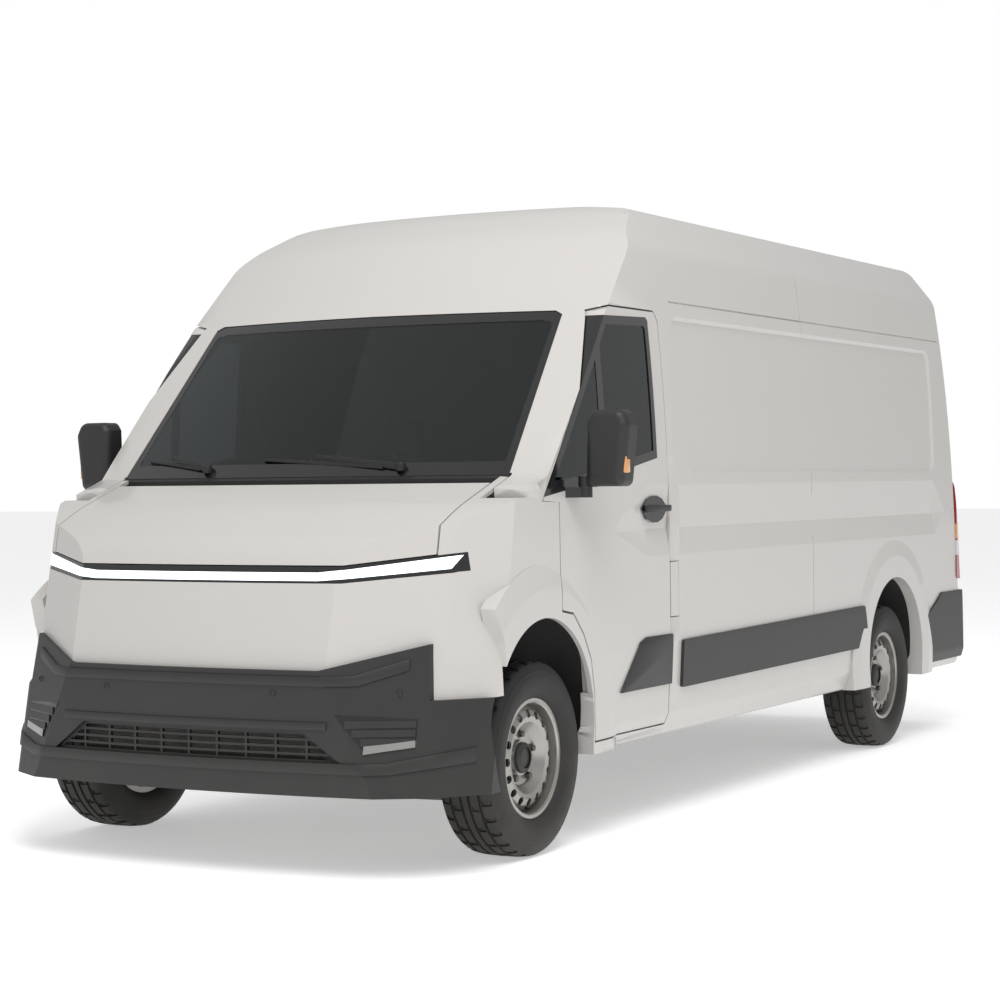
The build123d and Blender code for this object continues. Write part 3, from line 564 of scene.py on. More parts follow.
    def pick(self, obj: bpy.types.Object, test: FacePick) -> int:
        """Select faces in edit mode by their middle and normal.

        Args:
            obj: The object in edit mode.
            test: Says of a face's middle and normal whether it is picked.

        Returns:
            How many faces were picked.
        """
        bpy.ops.mesh.select_mode(type="FACE")
        bpy.ops.mesh.select_all(action="DESELECT")
        mesh = bmesh.from_edit_mesh(obj.data)
        count = 0
        for face in mesh.faces:
            if test(face.calc_center_median(), face.normal):
                face.select_set(True)
                count += 1
        bmesh.update_edit_mesh(obj.data)
        return count

    def sink(self, obj: bpy.types.Object, test: FacePick, inset: float, depth: float) -> None:
        """Inset the picked faces and push them in along their normal.

        Args:
            obj: The object.
            test: Picks the faces.
            inset: Width of the border left round them.
            depth: How far they go in; below zero they stand out.
        """
        with self.editing(obj):
            if self.pick(obj, test):
                bpy.ops.mesh.inset(thickness=inset, depth=0)
                bpy.ops.mesh.extrude_region_shrink_fatten(TRANSFORM_OT_shrink_fatten={"value": -depth})

    def outward(self, obj: bpy.types.Object) -> None:
        """Merge doubles and point every face outwards.

        Args:
            obj: The piece.
        """
        with self.editing(obj):
            bpy.ops.mesh.remove_doubles(threshold=MERGE)
            bpy.ops.mesh.normals_make_consistent(inside=False)

    def modify(self, obj: bpy.types.Object, kind: str, **settings: object) -> None:
        """Add a modifier and apply it.

        Args:
            obj: The object.
            kind: Blender's name for the modifier type.
            settings: Attributes of the modifier.
        """
        self.hold(obj)
        made = obj.modifiers.new(kind.lower(), kind)
        for key, value in settings.items():
            setattr(made, key, value)
        bpy.ops.object.modifier_apply(modifier=made.name)

    def soften(self, obj: bpy.types.Object, width: float, steps: int = 2, **limits: float) -> None:
        """Round a piece's sharp edges.

        Args:
            obj: The piece.
            width: Radius of the edges; at nothing the piece stays as it is.
            steps: Segments of the rounding.
            limits: Other settings of the bevel.
        """
        if width:
            self.modify(obj, "BEVEL", width=width, segments=steps, limit_method="ANGLE", **limits)

    def twin(self, obj: bpy.types.Object, name: str, move: Matrix) -> bpy.types.Object:
        """A copy with its own mesh, moved or mirrored.

        Args:
            obj: The piece to copy.
            name: Name of the copy.
            move: Matrix that its mesh is moved by.

        Returns:
            The copy.
        """
        copy = self.link(name, obj.data.copy())
        copy.data.name = name
        copy.data.transform(move)
        if move.determinant() < 0:
            self.outward(copy)
        return copy

    def merge(self, name: str, objects: Sequence[bpy.types.Object]) -> bpy.types.Object:
        """Join several pieces into one.

        Args:
            name: Name of the joined piece.
            objects: The pieces.

        Returns:
            The joined piece.
        """
        self.clear()
        for obj in objects:
            obj.select_set(True)
        bpy.context.view_layer.objects.active = objects[0]
        bpy.ops.object.join()
        objects[0].name = objects[0].data.name = name
        return objects[0]

    def finish(self, obj: bpy.types.Object, body: str, slot: str, material: str | None = None,
               angle: float = 35.0) -> bpy.types.Object:
        """Shade, dress and hang a finished piece on its body.

        Args:
            obj: The piece.
            body: The body it rides on.
            slot: The record's material slot.
            material: Name of its finish, if not the slot's.
            angle: Edges sharper than this stay sharp, in degrees.

        Returns:
            The piece.
        """
        self.hold(obj)
        bpy.ops.object.shade_smooth_by_angle(angle=math.radians(angle))
        obj.data.materials.clear()
        obj.data.materials.append(self.materials[material or slot])
        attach(obj, body)
        LOG.info("piece %s rides on %s", obj.name, body)
        return obj


MIRROR_X = Matrix.Scale(-1, 4, (1, 0, 0))


class Shaper(Bench):
    """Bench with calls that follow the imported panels' own surfaces."""

    def __init__(self, materials: dict[str, bpy.types.Material],
                 nodes: dict[str, bpy.types.Object]) -> None:
        """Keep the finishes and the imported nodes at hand.

        Args:
            materials: Finished materials by name.
            nodes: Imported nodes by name.
        """
        super().__init__(materials)
        self.nodes = nodes

    def prism(self, name: str, outline: Outline, axis: Axis, low: float, high: float) -> bpy.types.Object:
        """A solid with a flat outline, run along one axis.

        Args:
            name: Name of the solid.
            outline: Corners across the axis: (x, z) for Y, (y, z) for X, (x, y) for Z.
            axis: The axis it runs along.
            low: Where it starts.
            high: Where it ends.

        Returns:
            The solid.
        """
        self.clear()
        bpy.ops.mesh.primitive_circle_add(vertices=len(outline), radius=1, fill_type="NGON")
        obj = self.settle(bpy.context.object, name)
        place = {Axis.X: lambda a, b: (low, a, b), Axis.Y: lambda a, b: (a, low, b),
                 Axis.Z: lambda a, b: (a, b, low)}[axis]
        run = {Axis.X: (high - low, 0, 0), Axis.Y: (0, high - low, 0), Axis.Z: (0, 0, high - low)}[axis]
        for vertex, (a, b) in zip(obj.data.vertices, outline):
            vertex.co = place(a, b)
        with self.editing(obj):
            bpy.ops.mesh.extrude_region_move(TRANSFORM_OT_translate={"value": run})
            bpy.ops.mesh.select_all(action="SELECT")
            bpy.ops.mesh.normals_make_consistent(inside=False)
        return obj

    def copy_of(self, node: str, name: str) -> bpy.types.Object:
        """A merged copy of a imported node's mesh as a new piece.

        Args:
            node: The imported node.
            name: Name of the piece.

        Returns:
            The piece.
        """
        copy = self.link(name, self.nodes[node].data.copy())
        with self.editing(copy):
            bpy.ops.mesh.remove_doubles(threshold=MERGE)
        return copy

    def join_shapes(self, obj: bpy.types.Object, cutter: bpy.types.Object, operation: str,
                    keep: bool = False) -> None:
        """Run a boolean of a piece with a cutter.

        Args:
            obj: The piece.
            cutter: The other shape.
            operation: DIFFERENCE, INTERSECT or UNION.
            keep: Whether the cutter is used again.
        """
        self.modify(obj, "BOOLEAN", object=cutter, operation=operation, solver="EXACT")
        if not keep:
            bpy.data.objects.remove(cutter)

    def swell(self, obj: bpy.types.Object, amount: float) -> None:
        """Move every face out along its normal.

        Args:
            obj: The piece.
            amount: How far.
        """
        with self.editing(obj):
            bpy.ops.transform.shrink_fatten(value=amount, use_even_offset=True)

    def overlay(self, name: str, node: str, outline: Outline, axis: Axis, low: float, high: float,
                proud: float) -> bpy.types.Object:
        """A thin piece that follows a packed panel's surface inside an outline.

        Args:
            name: Name of the piece.
            node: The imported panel.
            outline: Its corners across the axis.
            axis: The axis that the outline runs along.
            low: Start of the run.
            high: End of the run.
            proud: How far it stands out of the panel.

        Returns:
            The piece.
        """
        piece = self.copy_of(node, name)
        self.join_shapes(piece, self.prism("cutter", outline, axis, low, high), "INTERSECT")
        self.swell(piece, proud)
        return piece

    def wall_overlay(self, name: str, node: str, outline: Outline, side: Side, inner: float,
                     proud: float, outer: float = 1.10) -> bpy.types.Object:
        """An overlay on one side of the van.

        Args:
            name: Name of the piece.
            node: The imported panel.
            outline: Its corners as (y, z).
            side: Side of the van.
            inner: Distance from the middle where the run starts.
            proud: How far it stands out of the panel.
            outer: Distance from the middle where the run ends.

        Returns:
            The piece.
        """
        low, high = sorted((side.value * inner, side.value * outer))
        return self.overlay(name, node, outline, Axis.X, low, high, proud)

    def touch(self, node: str, origin: Point, direction: Point) -> tuple[Vector, Vector]:
        """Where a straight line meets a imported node.

        Args:
            node: The node.
            origin: Start of the line.
            direction: Its direction.

        Returns:
            The point and the normal there.

        Raises:
            ValueError: If the line misses the node.
        """
        hit, place, normal, _ = self.nodes[node].ray_cast(Vector(origin), Vector(direction))
        if not hit:
            raise ValueError(f"no surface of {node} from {origin}")
        return place, normal


def mirrored(half: Iterable[tuple[float, float]]) -> list[tuple[float, float]]:
    """An outline on the left of the middle, joined to its mirror image."""
    half = list(half)
    return half + [(-x, z) for x, z in reversed(half)]


@dataclass
class Tyres:
    """The four tyres, with grooves and shoulder blocks."""

    bench: Shaper
    radius: float = TYRE_RADIUS
    half_width: float = 0.1175
    bead: float = 0.206
    steps: int = 96
    groove: float = 0.008

    def profile(self) -> list[tuple[float, float]]:
        """Closed section of the tyre as (x, radius)."""
        top = self.radius
        floor = top - self.groove
        half = [(0.010, top), (0.012, floor), (0.020, floor), (0.022, top - 0.0003), (0.052, top - 0.001),
                (0.054, floor - 0.001), (0.062, floor - 0.001), (0.064, top - 0.002), (0.088, top - 0.005),
                (0.100, top - 0.012), (0.108, 0.330), (0.1115, 0.318), (0.1135, 0.316), (0.1145, 0.306),
                (0.1165, 0.302), (self.half_width, 0.284), (0.1165, 0.262), (0.111, 0.240), (0.100, 0.226),
                (0.097, 0.2225), (0.090, 0.2195), (0.084, 0.212), (0.083, self.bead), (0.076, self.bead),
                (0.084, 0.236), (0.100, 0.280), (0.094, 0.318), (0.080, 0.338), (0.030, 0.340)]
        return half + [(-x, r) for x, r in reversed(half)]

    def build(self) -> None:
        """Model one tyre and hang a copy on each wheel."""
        first = self.bench.lathe("tyre_model", self.profile(), self.steps)
        step = 2 * math.pi / self.steps

        def shoulder(middle: Vector, normal: Vector) -> bool:
            """Every third face of the two outer ribs."""
            outside = 0.064 < abs(middle.x) < 0.100 and math.hypot(middle.y, middle.z) > 0.340
            return outside and int((math.atan2(middle.y, middle.z) + math.pi) / step) % 3 == 0

        def sipe(middle: Vector, normal: Vector) -> bool:
            """Every fourth face of the two ribs inside the outer ones."""
            inside = 0.022 < abs(middle.x) < 0.052 and math.hypot(middle.y, middle.z) > 0.350
            return inside and int((math.atan2(middle.y, middle.z) + math.pi) / step) % 4 == 1

        self.bench.sink(first, shoulder, 0.0006, 0.006)
        self.bench.sink(first, sipe, 0.0012, 0.005)
        for end, u in AXLES:
            for side in Side:
                move = Matrix.Translation((side.value * TRACK, at(u), self.radius))
                node = f"tyre_{end}_{side.word}"
                tyre = self.bench.twin(first, f"tread_{end}_{side.word}", move)
                self.bench.finish(tyre, f"wheel_{end}_{side.word}", "tyre_rubber", angle=30)
                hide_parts(node)
        bpy.data.objects.remove(first)


@dataclass
class WheelTrim:
    """Bolts, centre caps and valves on the steel rims."""

    bench: Shaper
    bolt_ring: float = 0.086
    bolts: int = 5

    def cap(self) -> bpy.types.Object:
        """The black domed cap over the hub."""
        cap = self.bench.disc("cap", (0.046, 0, 0), 0.056, 0.026, Axis.X, 40, 0.006)
        self.bench.sink(cap, lambda middle, normal: normal.x > 0.95 and middle.x > 0.05, 0.016, 0.004)
        return cap

    def bolt(self) -> bpy.types.Object:
        """One hexagon bolt head with its washer."""
        head = self.bench.disc("bolt", (0.046, 0, self.bolt_ring), 0.0125, 0.020, Axis.X, 6, 0.0015)
        washer = self.bench.disc("washer", (0.038, 0, self.bolt_ring), 0.016, 0.006, Axis.X, 24, 0.0015)
        return self.bench.merge("bolt", [head, washer])

    def valve(self) -> bpy.types.Object:
        """The rubber valve beside the rim's edge."""
        stem = self.bench.disc("valve", (0.068, 0, -0.182), 0.0045, 0.036, Axis.X, 16, 0.001)
        self.bench.sink(stem, lambda middle, normal: normal.x > 0.95, 0.001, -0.004)
        return stem

    def build(self) -> None:
        """Model the trim once and hang copies on each wheel."""
        cap, bolt, valve = self.cap(), self.bolt(), self.valve()
        ring = [self.bench.twin(bolt, "ring", Matrix.Rotation(2 * math.pi * k / self.bolts, 4, "X"))
                for k in range(self.bolts)]
        bolts = self.bench.merge("bolts", ring)
        for end, u in AXLES:
            for side in Side:
                body = f"wheel_{end}_{side.word}"
                move = Matrix.Translation((side.value * TRACK, at(u), TYRE_RADIUS))
                if side is Side.RIGHT:
                    move = move @ MIRROR_X
                for source, name, slot, material in ((cap, "hub_cap", "wheel_steel", "dark_plastic"),
                                                     (bolts, "wheel_bolts", "wheel_steel", "bolt_steel"),
                                                     (valve, "valve", "wheel_steel", "seal_rubber")):
                    piece = self.bench.twin(source, f"{name}_{end}_{side.word}", move)
                    self.bench.finish(piece, body, slot, material)
        for source in (cap, bolt, valve, bolts):
            bpy.data.objects.remove(source)


@dataclass
class FrontEnd:
    """Lit strip, bumper inserts, bands and sensors, and the windscreen's printed border."""

    bench: Shaper
    front: float = at(-1.05)
    back: float = at(-0.25)

    def overlay(self, name: str, node: str, outline: Outline, proud: float) -> bpy.types.Object:
        """A thin piece on a panel of the nose.

        Args:
            name: Name of the piece.
            node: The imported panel.
            outline: Its corners as (x, z).
            proud: How far it stands out of the panel.

        Returns:
            The piece.
        """
        return self.bench.overlay(name, node, outline, Axis.Y, self.front, self.back, proud)

    def strip(self) -> None:
        """The lit strip across the nose."""
        lit = [(0.480, 1.019), (0.585, 1.026), (0.884, 1.056), (0.908, 1.100), (0.585, 1.055), (0.480, 1.045)]
        piece = self.overlay("light_strip", "light_bar", mirrored(lit), 0.0012)
        self.bench.finish(piece, "van_body", "black_gloss", "lamp_white")

    def insert(self, side: Side) -> None:
        """The corner insert with slats and a bright blade.

        Args:
            side: Side of the van.
        """
        slats = [(f"slat_{number}", [(left, low), (0.836, low), (0.836, low + 0.011), (left, low + 0.011)])
                 for number, (low, left) in enumerate(((0.528, 0.638), (0.498, 0.662), (0.468, 0.690)))]
        panel = ("insert", [(0.600, 0.566), (0.842, 0.548), (0.842, 0.470), (0.700, 0.440)])
        blade = ("blade", [(0.702, 0.443), (0.838, 0.462), (0.838, 0.472), (0.702, 0.453)])
        rows = [(panel, 0.0015, "black_gloss", None), *((slat, 0.006, "dark_plastic", None) for slat in slats),
                (blade, 0.007, "dark_plastic", "bright_metal")]
        for (name, outline), proud, slot, material in rows:
            placed = [(side.value * x, z) for x, z in outline]
            piece = self.overlay(f"corner_{name}_{side.word}", "front_bumper", placed, proud)
            self.bench.finish(piece, "van_body", slot, material)

    def bands(self) -> None:
        """The bumper's raised upper band, its lower lip and the frame round the grille."""
        rows = (("upper_band", 0.006, [(0.640, 0.690), (0.800, 0.745), (0.800, 0.718), (0.655, 0.668)]),
                ("lower_lip", 0.007, [(0.760, 0.395), (0.990, 0.440), (0.990, 0.405), (0.770, 0.372)]),
                ("grille_frame_top", 0.006, [(0.520, 0.534), (0.560, 0.534), (0.560, 0.518), (0.520, 0.518)]))
        for name, proud, outline in rows:
            band = self.overlay(f"bumper_{name}", "front_bumper", mirrored(outline), proud)
            self.bench.soften(band, 0.002)
            self.bench.finish(band, "van_body", "dark_plastic")

    def sensors(self) -> None:
        """Round parking sensors in the bumper."""
        for number, x in enumerate((-0.78, -0.36, 0.36, 0.78)):
            place, _ = self.bench.touch("front_bumper", (x, at(-2.0), 0.635), (0, 1, 0))
            sensor = self.bench.disc(f"parking_sensor_{number}", tuple(place), 0.012, 0.006, Axis.Y, 24, 0.0015)
            self.bench.sink(sensor, lambda middle, normal: normal.y < -0.95, 0.003, 0.001)
            self.bench.finish(sensor, "van_body", "dark_plastic")

    def border(self) -> None:
        """The black printed border round the windscreen."""
        piece = self.bench.copy_of("windscreen", "windscreen_border")
        inner = mirrored([(0.835, 1.428), (0.788, 1.955), (0.762, 1.972)])
        pane = self.bench.prism("cutter", inner, Axis.Y, at(-0.6), at(1.0))
        self.bench.join_shapes(piece, pane, "DIFFERENCE")
        self.bench.swell(piece, 0.0008)
        self.bench.finish(piece, "van_body", "black_gloss", angle=30)

    def build(self) -> None:
        """Build every piece of the front."""
        self.strip()
        for side in Side:
            self.insert(side)
        self.bands()
        self.sensors()
        self.border()


@dataclass
class Wipers:
    """The two windscreen wipers, parked."""

    bench: Shaper
    arms: tuple[tuple[Point, Point], ...] = (((-0.431, 0, 1.392), (-0.782, 0, 1.445)),
                                             ((0.443, 0, 1.392), (-0.177, 0, 1.440)))

    def rest_on(self, x: float, z: float, lift: float) -> Vector:
        """A point just in front of the windscreen.

        Args:
            x: Place across the van.
            z: Height.
            lift: Distance from the glass.

        Returns:
            The point.
        """
        place, normal = self.bench.touch("windscreen", (x, at(-2.0), z), (0, 1, 0))
        return place + normal.normalized() * lift

    def build(self) -> None:
        """Build both wipers."""
        for number, (root, tip) in enumerate(self.arms):
            start = self.rest_on(root[0], root[2] + 0.012, 0.012)
            end = self.rest_on(tip[0] * 0.6 + root[0] * 0.4, tip[2] + 0.004, 0.020)
            pivot = self.bench.disc("pivot", tuple(start), 0.018, 0.034, Axis.Z, 24, 0.004)
            arm = self.bench.beam("arm", tuple(start), tuple(end), (0.010, 0.026), (0.008, 0.012), bevel=0.002)
            low = self.rest_on(tip[0] * 0.12 + root[0] * 0.88, root[2] * 0.6 + tip[2] * 0.4 - 0.004, 0.008)
            high = self.rest_on(tip[0], tip[2], 0.008)
            blade = self.bench.beam("blade", tuple(low), tuple(high), (0.012, 0.016), (0.012, 0.010),
                                    bevel=0.002)
            wiper = self.bench.merge(f"wiper_{number}", [arm, pivot, blade])
            self.bench.finish(wiper, "van_body", "dark_plastic")


@dataclass
class Doors:
    """Handles, cladding, window dividers and mirror parts."""

    bench: Shaper
    handle_u: float = 0.935
    sliding_handle_u: float = 1.36
    handle_z: float = 1.237

    def handle(self, name: str, node: str, body: str, u: float, z: float, side: Side) -> None:
        """A dark lens-shaped cup with a grip bar across it.

        Args:
            name: Name of the handle.
            node: The panel it sits on.
            body: The body it rides on.
            u: Its station behind the front axle.
            z: Its height.
            side: Side of the van.
        """
        sign = side.value
        lens = [(-0.118, 0.004), (-0.070, 0.040), (-0.026, 0.052), (0.026, 0.052), (0.070, 0.040),
                (0.118, 0.004), (0.070, -0.036), (0.026, -0.050), (-0.026, -0.050), (-0.070, -0.036)]
        cup = self.bench.wall_overlay(f"{name}_cup", node, [(at(u + a), z + b) for a, b in lens], side, 0.90,
                                      0.0015)
        self.bench.finish(cup, body, "black_gloss")
        place, _ = self.bench.touch(node, (sign * 1.4, at(u), z), (-sign, 0, 0))
        out = place.x + sign * 0.016
        grip = self.bench.beam(f"{name}_grip", (out, at(u - 0.112), z + 0.004), (out, at(u + 0.112), z + 0.004),
                               (0.016, 0.030), (0.018, 0.026), bevel=0.005)
        self.bench.finish(grip, body, "dark_plastic")

    def divider(self, side: Side) -> None:
        """The upright bar in the front door's window.

        Args:
            side: Side of the van.
        """
        outline = [(at(0.490), 1.30), (at(0.534), 1.30), (at(0.534), 2.05), (at(0.490), 2.05)]
        bar = self.bench.wall_overlay(f"window_divider_{side.word}", f"door_glass_{side.word}", outline, side,
                                      0.80, 0.002)
        self.bench.finish(bar, f"door_{side.word}", "black_gloss")

    def mirror_parts(self, side: Side) -> None:
        """The mirror's glass and its side indicator.

        Args:
            side: Side of the van.
        """
        sign = side.value
        low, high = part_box(f"mirror_{side.word}")
        near, far = (low.x, high.x) if sign > 0 else (-high.x, -low.x)
        back = high.y - 0.006
        outline = [(near + 0.052, low.z + 0.026), (far - 0.040, low.z + 0.026),
                   (far - 0.020, high.z - 0.070), (far - 0.046, high.z - 0.028),
                   (near + 0.066, high.z - 0.028), (near + 0.052, high.z - 0.060)]
        glass = self.bench.prism(f"mirror_glass_{side.word}", [(sign * x, z) for x, z in outline], Axis.Y,
                                 back - 0.006, back)
        self.bench.soften(glass, 0.0015)
        self.bench.finish(glass, f"mirror_{side.word}", "black_gloss", "mirror_face")
        middle = (low.y + high.y) / 2
        outer = far - 0.016
        lamp = self.bench.block(f"mirror_indicator_{side.word}",
                                (sign * (far - 0.050), middle - 0.030, low.z + 0.050),
                                (sign * outer, middle + 0.012, low.z + 0.115), 0.006)
        place, _ = self.bench.touch(f"mirror_{side.word}", (sign * 1.6, middle, low.z + 0.082), (-sign, 0, 0))
        lamp.data.transform(Matrix.Translation((place.x - sign * outer + sign * 0.002, 0, 0)))
        self.bench.finish(lamp, f"mirror_{side.word}", "black_gloss", "amber_lens")

    def cladding(self, side: Side) -> None:
        """The dark cladding's front length, on the door.

        Args:
            side: Side of the van.
        """
        outline = [(at(0.640), 0.548), (at(1.093), 0.548), (at(1.093), 0.728), (at(0.845), 0.728),
                   (at(0.790), 0.712)]
        piece = self.bench.wall_overlay(f"door_cladding_{side.word}", f"door_{side.word}", outline, side, 0.97,
                                        0.010)
        self.bench.soften(piece, 0.003)
        self.bench.finish(piece, f"door_{side.word}", "dark_plastic")

    def build(self) -> None:
        """Build every piece of the doors."""
        for side in Side:
            door = f"door_{side.word}"
            self.cladding(side)
            self.handle(f"door_handle_{side.word}", door, door, self.handle_u, self.handle_z, side)
            self.divider(side)
            self.mirror_parts(side)
        self.handle("sliding_handle", "sliding_door", "van_body", self.sliding_handle_u, self.handle_z,
                    Side.RIGHT)


@dataclass
class RearEnd:
    """Lamp segments, the rear handle and the high stop lamp."""

    bench: Shaper
    handle_x: float = 0.075
    segment_height: float = 0.075

    def lamps(self, side: Side) -> None:
        """Clear and amber segments over the red lens.

        Args:
            side: Side of the van.
        """
        for name, z, material in (("reversing", 0.930, "lamp_cool"), ("indicator", 1.020, "amber_lens")):
            top = z + self.segment_height
            outline = [(at(4.60), z), (at(5.10), z), (at(5.10), top), (at(4.60), top)]
            piece = self.bench.wall_overlay(f"tail_{name}_{side.word}", "tail_lamps", outline, side, 0.90,
                                            0.0015)
            self.bench.finish(piece, "van_body", "red_lens", material)

    def handle(self) -> None:
        """The upright handle on the left rear door."""
        place, _ = self.bench.touch("rear_door_left", (self.handle_x, at(5.6), 1.18), (0, -1, 0))
        for name, low, high, foot, head, slot in (
                ("base", (0.004, 1.09), (-0.010, 1.29), 0.062, 0.062, "black_gloss"),
                ("grip", (0.022, 1.10), (0.008, 1.28), 0.030, 0.026, "dark_plastic")):
            bar = self.bench.beam(f"rear_handle_{name}", (self.handle_x, place.y + low[0], low[1]),
                                  (self.handle_x, place.y + high[0], high[1]), (foot, 0.014), (head, 0.014),
                                  up=(0, 1, 0), bevel=0.004)
            self.bench.finish(bar, "rear_door_left", slot)

    def stop_lamp(self) -> None:
        """The high stop lamp over the rear doors."""
        place, _ = self.bench.touch("rear_frame", (0.0, at(5.6), 2.40), (0, -1, 0))
        lamp = self.bench.block("high_stop_lamp", (-0.16, place.y - 0.03, 2.386),
                                (0.16, place.y + 0.010, 2.414), 0.006)
        self.bench.sink(lamp, lambda middle, normal: normal.y > 0.95, 0.004, 0.002)
        self.bench.finish(lamp, "van_body", "red_lens")

    def build(self) -> None:
        """Build every piece of the rear."""
        for side in Side:
            self.lamps(side)
        self.handle()
        self.stop_lamp()


@dataclass(frozen=True)
class Pad:
    """Size of one padded part of a seat."""

    name: str
    low: Point
    high: Point
    lean: float
    round: float = 0.05


@dataclass
class Cabin:
    """Seats with padded covers, instrument hood, screen and vents."""

    bench: Shaper
    driver_x: float = 0.470
    bench_x: float = -0.430
    voxel: float = 0.016
    pressure: float = 4.0
    cap: float = 0.012
    frames: int = 20
    channel_width: float = 0.014
    channel_depth: float = 0.008

    def pads(self) -> tuple[tuple[str, str, tuple[Pad, ...]], ...]:
        """Node, seat name and padded parts of each seat, cushion first."""
        rows = []
        for node, middle, half, heads in (
                ("driver_seat", self.driver_x, 0.25, (self.driver_x,)),
                ("passenger_seat", self.bench_x, 0.43, (self.bench_x - 0.215, self.bench_x + 0.215))):
            left, right = middle - half + 0.02, middle + half - 0.02
            parts = [Pad("cushion", (left, at(0.575), 0.785), (right, at(0.985), 0.895), 0.0),
                     Pad("backrest", (left, at(0.965), 0.860), (right, at(1.085), 1.425), 0.10)]
            parts += [Pad(f"headrest_{k}", (x - 0.11, at(1.045), 1.470), (x + 0.11, at(1.105), 1.630), 0.0,
                          0.03)
                      for k, x in enumerate(heads)]
            rows.append((node, node.split("_")[0], tuple(parts)))
        return tuple(rows)

    def inflate(self, obj: bpy.types.Object) -> None:
        """Swell a pad with a short cloth simulation and keep the result.

        Args:
            obj: The pad.
        """
        self.bench.modify(obj, "REMESH", mode="VOXEL", voxel_size=self.voxel)
        rest = [v.co.copy() for v in obj.data.vertices]
        self.bench.hold(obj)
        made = obj.modifiers.new("cloth", "CLOTH")
        made.settings.use_pressure = True
        made.settings.uniform_pressure_force = self.pressure
        made.settings.effector_weights.gravity = 0.0
        made.settings.quality = 5
        scene = bpy.context.scene
        for frame in range(1, self.frames + 1):
            scene.frame_set(frame)
        bpy.ops.object.modifier_apply(modifier=made.name)
        scene.frame_set(1)
        for vertex, start in zip(obj.data.vertices, rest):
            moved = vertex.co - start
            if moved.length > self.cap:
                vertex.co = start + moved.normalized() * self.cap

    def pad(self, seat: str, part: Pad) -> bpy.types.Object:
        """One padded part: rounded block, simulated swelling and sewn channels.

        Args:
            seat: Name of the seat.
            part: Its size.

        Returns:
            The piece.
        """
        obj = self.bench.block(f"{seat}_{part.name}", part.low, part.high, part.round, 4)
        height = part.high[2] - part.low[2]
        for vertex in obj.data.vertices:
            vertex.co.y += part.lean * (vertex.co.z - part.low[2]) / height
        self.inflate(obj)
        middle = (part.low[0] + part.high[0]) / 2
        width = part.high[0] - part.low[0]
        channels = (middle - width * 0.32, middle + width * 0.32) if width > 0.3 else ()
        for vertex in obj.data.vertices:
            for channel in channels:
                near = 1 - min(1.0, abs(vertex.co.x - channel) / self.channel_width)
                if part.name == "cushion" and vertex.co.z > part.high[2] - 0.03:
                    vertex.co.z -= self.channel_depth * near
                elif part.name == "backrest" and vertex.co.y < part.low[1] + part.lean + 0.03:
                    vertex.co.y += self.channel_depth * near
        self.bench.modify(obj, "SUBSURF", levels=1, render_levels=1)
        self.bench.finish(obj, "van_body", "seat_fabric", angle=60)
        return obj

    def seats(self) -> None:
        """Build the padded seats in place of the plain ones."""
        for node, seat, parts in self.pads():
            made = [self.pad(seat, part) for part in parts]
            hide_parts(node)
            stems = []
            for part in parts[2:]:
                x = (part.low[0] + part.high[0]) / 2
                for shift in (-0.05, 0.05):
                    stems.append(self.bench.disc("stem", (x + shift, at(1.078), 1.445), 0.006, 0.09, Axis.Z, 16,
                                                 0.001))
            posts = self.bench.merge(f"{seat}_headrest_stems", stems)
            self.bench.finish(posts, "van_body", "seat_fabric", "bright_metal")

    def dashboard(self) -> None:
        """Instrument hood, middle screen, vents and gear selector on the dashboard."""
        hood = self.bench.block("instrument_hood", (0.30, at(0.17), 1.262), (0.64, at(0.33), 1.325), 0.02, 4)
        self.bench.sink(hood, lambda middle, normal: normal.y > 0.9, 0.012, 0.05)
        self.bench.finish(hood, "van_body", "cabin_plastic")
        dials = self.bench.block("instrument_face", (0.33, at(0.272), 1.272), (0.61, at(0.282), 1.312), 0.003)
        self.bench.finish(dials, "van_body", "black_gloss")
        screen = self.bench.beam("middle_screen", (0.02, at(0.385), 1.10), (0.02, at(0.335), 1.26),
                                 (0.26, 0.016), (0.26, 0.016), up=(0, 1, 0), bevel=0.004)
        self.bench.sink(screen, lambda middle, normal: normal.y > 0.85, 0.010, 0.001)
        self.bench.finish(screen, "van_body", "black_gloss")
        for number, x in enumerate((-0.74, -0.18, 0.22, 0.76)):
            vent = self.bench.block(f"vent_{number}", (x - 0.06, at(0.330), 1.195),
                                    (x + 0.06, at(0.386), 1.245), 0.006)
            self.bench.sink(vent, lambda middle, normal: normal.y > 0.9, 0.006, 0.012)
            self.bench.finish(vent, "van_body", "cabin_plastic")
        selector = self.bench.block("gear_selector", (0.06, at(0.40), 1.02), (0.12, at(0.46), 1.09), 0.014, 4)
        self.bench.sink(selector, lambda middle, normal: normal.z > 0.9, 0.010, -0.012)
        self.bench.finish(selector, "van_body", "cabin_plastic")

    def build(self) -> None:
        """Build the seats and the dashboard's fittings."""
        self.seats()
        self.dashboard()


